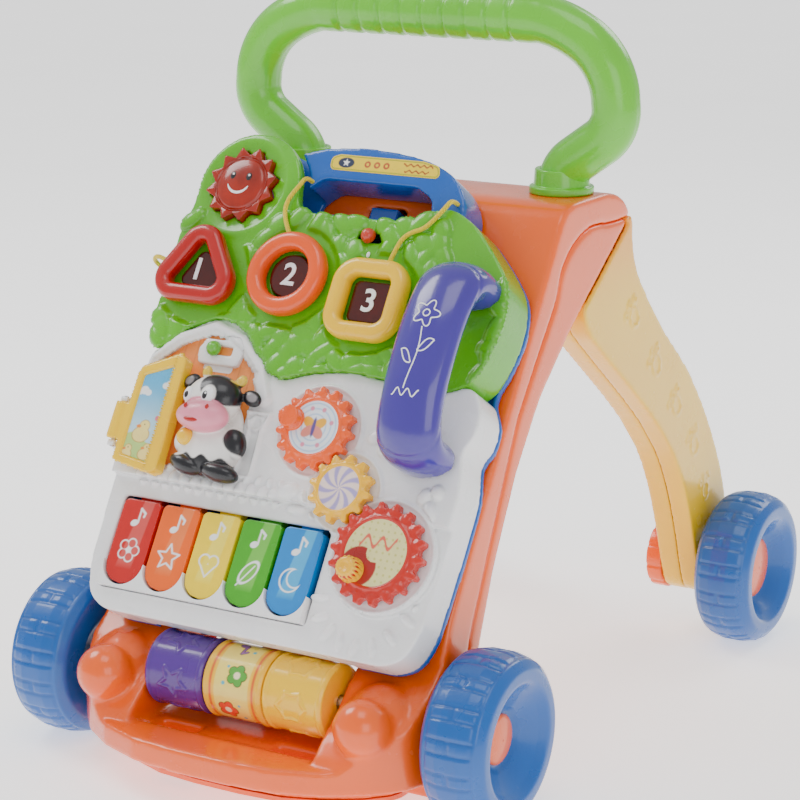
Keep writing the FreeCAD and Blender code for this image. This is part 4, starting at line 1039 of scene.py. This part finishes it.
def gears():
    """Gears with raised rims, printed centres, dimples round them and finger knobs."""
    for name, (cp, cq, radius) in GEAR.items():
        body_name = f"{name}_gear"
        look = f"gear_{name}"

        def dimples(points, normals, cp=cp, cq=cq, radius=radius, name=name):
            r = np.hypot(points[:, 0] - cp, points[:, 1] - cq)
            angle = np.arctan2(points[:, 1] - cq, points[:, 0] - cp)
            wave = np.cos(angle * TEETH[name]) * np.exp(-((r - radius * 0.83) / 2.2) ** 2)
            rim = 1.0 * np.exp(-((r - radius * 0.69) / 1.2) ** 2)
            top = (normals[:, 2] > 0.7) & (r > radius * 0.6)
            return np.where(top, 0.7 * wave + rim, 0)

        moulding(f"{name}_gear_wheel", [f"gear_{name}"], body_name, look, 0.7, 7,
                 relief=dimples)
        face = radius * 0.655
        outline = [(face * math.cos(2 * math.pi * i / 96), face * math.sin(2 * math.pi * i / 96))
                   for i in range(96)]
        make(f"{name}_gear_print", plate(outline, 44.0, 44.75, 0.5),
             PANEL @ Matrix.Translation((cp, cq, 0)), body_name, "print",
             paint=lambda x, y, z, name=name: gear_print(name, x, y))
    upward = Matrix.Rotation(-math.pi / 2, 4, "Y")
    disc = [(0, 0.01), (0, 7.6), (2.4, 7.6), (3.4, 6.8), (3.8, 5.4), (3.9, 0.01)]
    button = [(0, 0.01), (0, 8.2), (1.2, 8.2), (2.2, 7.6), (8.5, 6.9), (10.4, 5.9), (11.2, 4.4),
              (11.0, 3.2), (10.2, 2.4), (9.9, 0.01)]

    def ribs(x, r, angle):
        return 0.45 * math.cos(16 * angle) if 2.5 < x < 9.5 and r > 5 else 0

    for name, reach, turn, profile, shape, look in (
            ("orange", 16, 168, disc, None, "gear_orange"),
            ("red", 18, 226, button, ribs, "gear_yellow")):
        cp, cq, _ = GEAR[name]
        turn = math.radians(turn)
        place = PANEL @ Matrix.Translation((cp + reach * math.cos(turn), cq + reach * math.sin(turn),
                                            43.6)) @ upward
        make(f"{name}_finger_knob", lathe(dense_outline(profile, 0.8), 128, shape), place,
             f"{name}_gear", look)


# --- handset ---
def handset():
    """The purple handset with a parting line, and a white line flower printed on it."""
    def seam(points, normals):
        n = points[:, 2]
        return np.where(normals[:, 2] < 0.6, -0.5 * np.exp(-((n - 66) / 0.9) ** 2), 0)

    piece = moulding("handset_shell", ["handset_front", "handset_back"], "handset",
                     "purple", 1.2, 14, relief=seam)
    tree = BVHTree.FromObject(piece, bpy.context.evaluated_depsgraph_get())
    flower = [[(HANDSET_P + 7 * math.cos(t) * (1 + 0.28 * math.cos(5 * t)),
                172 + 7 * math.sin(t) * (1 + 0.28 * math.cos(5 * t)))
               for t in np.linspace(0, 2 * math.pi, 80)],
              [(HANDSET_P + 2.2 * math.cos(t), 172 + 2.2 * math.sin(t))
               for t in np.linspace(0, 2 * math.pi, 24)],
              [(HANDSET_P + 1.5 * math.sin((163 - y) / 9), y) for y in np.linspace(163, 124, 30)]]
    for side, base in ((1, 148), (-1, 140)):
        flower.append([(HANDSET_P + side * (1 + 9 * t), base + 8 * t + 3.5 * math.sin(math.pi * t))
                       for t in np.linspace(0, 1, 14)])
        flower.append([(HANDSET_P + side * (1 + 9 * t), base + 8 * t - 3.0 * math.sin(math.pi * t))
                       for t in np.linspace(0, 1, 14)])
    flower.append([(HANDSET_P + x, 122 + 2.2 * math.sin(x * 0.9)) for x in np.linspace(-9, 9, 30)])
    curve = bpy.data.curves.new("doodle", "CURVE")
    curve.dimensions = "3D"
    curve.bevel_depth = 0.42 * MM
    down = -(PANEL.to_3x3() @ Vector((0, 0, 1))).normalized()
    for line in flower:
        found = []
        for p, q in line:
            hit = tree.ray_cast(PANEL @ Vector((p, q, 110)), down)[0]
            if hit:
                found.append(hit)
        strand = curve.splines.new("POLY")
        strand.points.add(len(found) - 1)
        for point, hit in zip(strand.points, found):
            point.co = (*hit, 1)
    shape = bpy.data.objects.new("doodle", curve)
    bpy.context.scene.collection.objects.link(shape)
    mesh = bpy.data.meshes.new_from_object(
        shape.evaluated_get(bpy.context.evaluated_depsgraph_get()))
    bpy.data.objects.remove(shape)
    finish_piece("handset_print", mesh, "handset", "snow")


# --- barn ---
DOOR = PANEL @ Matrix.Translation((-123, 0, 43.5))


def door_picture(x, y, z):
    """Sky with clouds over a meadow with two round chicks."""
    colours = np.tile(rgb("4FB3E6"), (len(x), 1))
    colours = lay(colours, step_up(118 - y, 0, 40), rgb("BFE3F5"))
    hill = y - 78 - 3 * np.sin((x - 8) * 0.22)
    colours = lay(colours, soft(hill, 0.8), rgb("B9D97A"))
    for cx, cy in ((14, 108), (32, 114)):
        puffs = [np.hypot((x - cx - dx) / 1.2, y - cy - dy) - r
                 for dx, dy, r in ((-3, 0, 2.2), (0, 1.2, 2.8), (3.2, 0, 2.1))]
        colours = lay(colours, soft(np.minimum.reduce(puffs), 0.5), SNOW)
    for cx, cy, size in ((21, 80, 6.2), (28, 67.5, 4.6), (14, 66, 4.2)):
        chick = np.minimum(oval(x, y, cx, cy, size, size * 0.8),
                           np.hypot(x - cx - size * 0.2, y - cy - size * 0.95) - size * 0.6)
        colours = lay(colours, soft(chick - 0.4, 0.4), rgb("B9862A"))
        colours = lay(colours, soft(chick, 0.4), rgb("FBE58A"))
        beak = oval(x, y, cx - size * 0.5, cy + size * 0.85, size * 0.3, size * 0.18)
        colours = lay(colours, soft(beak, 0.3), rgb("EE8A2A"))
        eye = np.hypot(x - cx - size * 0.15, y - cy - size * 1.1) - 0.45
        colours = lay(colours, soft(eye, 0.3), BLACK)
    flower = np.hypot(x - 30, y - 92) - 1.8
    return lay(colours, soft(flower, 0.4), rgb("E8718A"))


def barn():
    """The door with its framed picture, the barn's label and the two small knobs."""
    picture = [(11, 66), (33.5, 62.5), (33.5, 128), (11, 119)]

    def border(points, normals):
        x, y = points[:, 0], points[:, 1]
        edge = within(x, y, picture)
        return np.where((normals[:, 2] > 0.6) & (x < 35), 1.6 * step_up(edge, 0, 1.4), 0)

    moulding("door_leaf", ["barn_door"], "door", "door", 0.8, 6, place=DOOR,
             relief=border)
    make("door_picture", plate(rounded(picture, 2), 2.2, 2.9), DOOR, "door",
         "print", paint=door_picture)
    backdrop = [(-116, 63), (-33, 63), (-33, 134), (-55, 153), (-76, 159), (-99, 149), (-116, 134)]

    def planks(x, y, z):
        colours = np.tile(rgb("FF9A4C"), (len(x), 1))
        seams = np.abs((x + 200) % 9 - 4.5)
        return lay(colours, 0.5 * soft(seams - 0.35, 0.4), rgb("C86A2C"))

    make("barn_backdrop", plate(backdrop, 30.2, 34.4, 0.6), PANEL, "panel", "print",
         ["barn_wall"], paint=planks)
    blank = rounded([(-79, 131), (-57, 131), (-57, 137), (-79, 137)], 2.5)
    bm = bmesh.new()
    prism(bm, blank, 32.8, 34.6)
    make("barn_label", bm, PANEL, "panel", "white", sharp=35)
    profile = [(0, 0.01), (0, 4.6), (0.8, 5.0)]
    profile += [(0.8 + 5.6 * math.sin(t), 5.0 * math.cos(t) + 0.01)
                for t in np.linspace(0.1, math.pi / 2, 12)]
    upward = Matrix.Rotation(-math.pi / 2, 4, "Y")
    for name, node, body_name, slot, look, bottom in (
            ("mode_bead", "mode_knob", "mode_switch", "knob_green", "green_knob", 38.4),
            ("power_bead", "power_knob", "power_switch", "knob_red", "red_knob", 38.6)):
        local = PANEL.inverted() @ middle(node)
        make(name, lathe(profile, 72), PANEL @ Matrix.Translation((local.x, local.y, bottom))
             @ upward, body_name, look, [node])
    for x in (11, 19):
        bm = bmesh.new()
        ball(bm, (x, 219.5, 38.6), (1.3, 2.0, 0.6))
        make(f"power_mark_{x}", bm, PANEL, "panel", "snow")


# --- calf ---
def calf_paint(x, y, z):
    """White coat, black patches, pink muzzle, black hooves and ears, yellow horns."""
    colours = np.tile(rgb("F6F3EE"), (len(x), 1))
    patch = np.sqrt(((x + 44) / 15.5) ** 2 + ((y - 117) / 13.5) ** 2 + ((z - 56) / 20) ** 2) - 1
    colours = lay(colours, soft(patch * 12, 0.8) * (y > 104), BLACK)
    around_eye = oval(x, y, -50.7, 108.5, 5.2, 6.6)
    colours = lay(colours, soft(around_eye, 0.7) * (z > 55), rgb("F6F3EE"))
    arm = oval(x, y, -28, 84, 9.5, 7, -35)
    colours = lay(colours, soft(arm, 0.8), BLACK)
    colours = lay(colours, soft(y - 70.5 - 1.5 * np.sin(x * 0.5), 0.9) * (z > 37), BLACK)
    ears = np.minimum(oval(x, y, -77, 121, 7.5, 7), oval(x, y, -29.5, 114.5, 8.5, 7.5))
    colours = lay(colours, soft(ears, 0.7), BLACK)
    hollows = np.minimum(oval(x, y, -77.5, 120, 3.4, 2.6, 35), oval(x, y, -28.5, 114.5, 4, 2.8, -20))
    colours = lay(colours, soft(hollows, 0.6) * (z > 45), rgb("8F8A8C"))
    muzzle = np.sqrt(((x + 53) / 20) ** 2 + ((y - 95.5) / 11) ** 2 + ((z - 60) / 13) ** 2) - 1
    colours = lay(colours, soft(muzzle * 11 - 0.2, 0.7), rgb("EF8FA4"))
    horns = np.minimum(oval(x, y, -66.5, 128.5, 4.6, 4.4), oval(x, y, -39.5, 125, 4.8, 4.4))
    return lay(colours, soft(horns, 0.6), rgb("E9C53C"))


def calf():
    """A seated calf in front of the barn wall, with its bell, eyes and mouth."""
    bm = bmesh.new()
    for centre, radii, turn in (
            ((-54, 109, 49), (19.5, 16, 13), 12), ((-52.5, 95.5, 57), (19, 10.2, 10.5), 4),
            ((-50, 79, 43), (22.5, 19, 12), 0), ((-31, 84, 46), (7.5, 11, 7), 25),
            ((-68, 83, 45), (6.5, 10, 7), -20), ((-61, 65.5, 47), (12.5, 6.2, 8), -14),
            ((-35, 63.5, 47), (14, 6.2, 8), -6), ((-77, 120, 44), (6.2, 5.2, 3.4), 35),
            ((-29.5, 114.5, 44), (7.2, 5.2, 3.4), -20), ((-66.5, 127, 46), (3.4, 4.4, 3.0), 10),
            ((-39.5, 124, 46), (3.6, 4.4, 3.0), -30), ((-51, 90, 38), (18, 24, 5), 0)):
        ball(bm, centre, radii, turn)
    mesh = remeshed(bm, 0.75, 4)
    put_paint(mesh, calf_paint(*points_of(mesh).T))
    mesh.transform(PANEL)
    finish_piece("calf", mesh, "panel", "print", ["calf_figure"])
    spots = (("eye_right", (-50.7, 108.3, 61.2), (4.6, 6.0, 2.0), "snow"),
             ("eye_left", (-66.2, 107.6, 59.6), (3.2, 5.0, 1.8), "snow"),
             ("pupil_right", (-51.8, 107.6, 62.9), (1.9, 2.7, 0.8), "black"),
             ("pupil_left", (-66.6, 106.8, 61.2), (1.4, 2.2, 0.7), "black"),
             ("glint_right", (-51.2, 108.8, 63.6), (0.7, 0.8, 0.3), "snow"),
             ("nostril_left", (-61, 98.5, 66.6), (1.3, 1.8, 0.7), "ring_red"),
             ("nostril_right", (-45.5, 99.5, 66.2), (1.3, 1.8, 0.7), "ring_red"),
             ("mouth", (-55, 90.3, 65.6), (5.2, 1.7, 1.2), "ring_red"))
    for name, centre, radii, look in spots:
        bm = bmesh.new()
        ball(bm, centre, radii)
        make(f"calf_{name}", bm, PANEL, "panel", look)
    bm = bmesh.new()
    ball(bm, (-63.2, 81.5, 54), (5.4, 5.6, 5.0))
    make("calf_bell", bm, PANEL, "panel", "drum_yellow")


# --- cords ---
CORDS = {
    "circle": ((-39.7, 226.1, 43), (-45.5, 234, 42.5), (-49.5, 243, 42), (-48.5, 251.5, 42),
               (-43.5, 260, 42), (-43, 267.8, 38.3), (-43, 267.8, 30)),
    "square": ((38.5, 215.1, 43), (39.5, 223.5, 42), (41.5, 231.5, 41.5), (47.5, 236.3, 42),
               (55, 239, 42), (61, 246, 42.5), (66, 254, 42.5), (66.5, 261.8, 38),
               (66.5, 261.8, 30)),
    "triangle": ((-124.5, 198.2, 45), (-132.5, 201, 44.8), (-139.5, 200.3, 39),
                 (-140.5, 199, 30.5), (-134.5, 198, 24), (-126.25, 198.2, 24)),
}
CORD_RADIUS = 0.0015


def cords():
    """Limp tether cords of the shape pieces, each from its ring back into the walker."""
    for name, route in CORDS.items():
        curve = bpy.data.curves.new(f"tether_{name}", "CURVE")
        curve.dimensions = "3D"
        curve.bevel_depth = CORD_RADIUS
        curve.bevel_resolution = 6
        curve.resolution_u = 24
        curve.use_fill_caps = True
        strand = curve.splines.new("NURBS")
        strand.points.add(len(route) - 1)
        for point, place in zip(strand.points, route):
            point.co = (*(PANEL @ Vector(place)), 1)
        strand.order_u = 3
        strand.use_endpoint_u = True
        curve.materials.append(LOOK["cord"])
        piece = bpy.data.objects.new(f"tether_{name}", curve)
        bpy.context.scene.collection.objects.link(piece)
        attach(piece, "panel")
        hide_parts(f"cord_{name}")


def plain_nodes():
    """CAD nodes whose shape is right keep it and get their finish."""
    looks = {"base_cover": "body", "body_screws": "steel", "axle_pins": "steel",
             "roller_pin": "steel", "battery_door": "case", "panel_screws": "steel",
             "key_rod": "steel", "door_pin": "steel",
             "circuit_board": "board", "speaker": "black"}
    for node, look in looks.items():
        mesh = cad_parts[node].data
        mesh.materials.clear()
        mesh.materials.append(LOOK[look])


# --- floor, light and camera ---
def light(name, place, target, size, power, colour=(1, 1, 1)):
    """A soft square light aimed at a point."""
    lamp = bpy.data.lights.new(name, "AREA")
    lamp.size = size
    lamp.energy = power
    lamp.color = colour
    obj = bpy.data.objects.new(name, lamp)
    bpy.context.scene.collection.objects.link(obj)
    obj.location = place
    obj.rotation_euler = (Vector(target) - Vector(place)).to_track_quat("-Z", "Y").to_euler()


def studio():
    """A pale floor, soft light from all sides, and the camera."""
    bm = bmesh.new()
    bmesh.ops.create_grid(bm, x_segments=2, y_segments=2, size=6)
    mesh = bpy.data.meshes.new("floor")
    bm.to_mesh(mesh)
    bm.free()
    floor = bpy.data.objects.new("floor", mesh)
    bpy.context.scene.collection.objects.link(floor)
    material, nodes, links, shader = node_tree("floor_look")
    links.new(blend_colour(nodes, links, noise(nodes, links, 3, 2), (0.86,) * 3, (0.9,) * 3),
              shader.inputs["Base Color"])
    shader.inputs["Roughness"].default_value = 0.9
    shader.inputs["Emission Color"].default_value = (1, 1, 1, 1)
    shader.inputs["Emission Strength"].default_value = 0.95
    mesh.materials.append(material)
    world = bpy.data.worlds.new("studio")
    bpy.context.scene.world = world
    world.use_nodes = True
    world.node_tree.nodes["Background"].inputs["Color"].default_value = (1, 1, 1, 1)
    world.node_tree.nodes["Background"].inputs["Strength"].default_value = 0.72
    aim = (0, -0.05, 0.2)
    light("key", (-1.5, -0.25, 1.9), aim, 0.9, 20)
    light("top", (0.3, -0.7, 2.4), aim, 1.1, 10)
    light("fill", (1.6, -1.6, 0.9), aim, 1.2, 9)
    light("rim", (0.4, 1.6, 1.5), aim, 1.0, 12)
    camera = bpy.data.cameras.new("camera")
    camera.lens = 113.0
    camera.sensor_width = 36
    camera.clip_start = 0.05
    viewer = bpy.data.objects.new("camera", camera)
    bpy.context.scene.collection.objects.link(viewer)
    turn, rise, far = math.radians(30.81), math.radians(13.94), 1.628
    target = Vector((0.01981, -0.0582, 0.21866))
    offset = Vector((math.sin(turn) * math.cos(rise), -math.cos(turn) * math.cos(rise),
                     math.sin(rise)))
    viewer.location = target + offset * far
    viewer.rotation_euler = (-offset).to_track_quat("-Z", "Y").to_euler()
    bpy.context.scene.camera = viewer


studio()
cords()
body()
legs()
hoop()
wheels()
rollers()
shells()
sun()
shape_pieces()
keys()
gears()
handset()
barn()
calf()
plain_nodes()
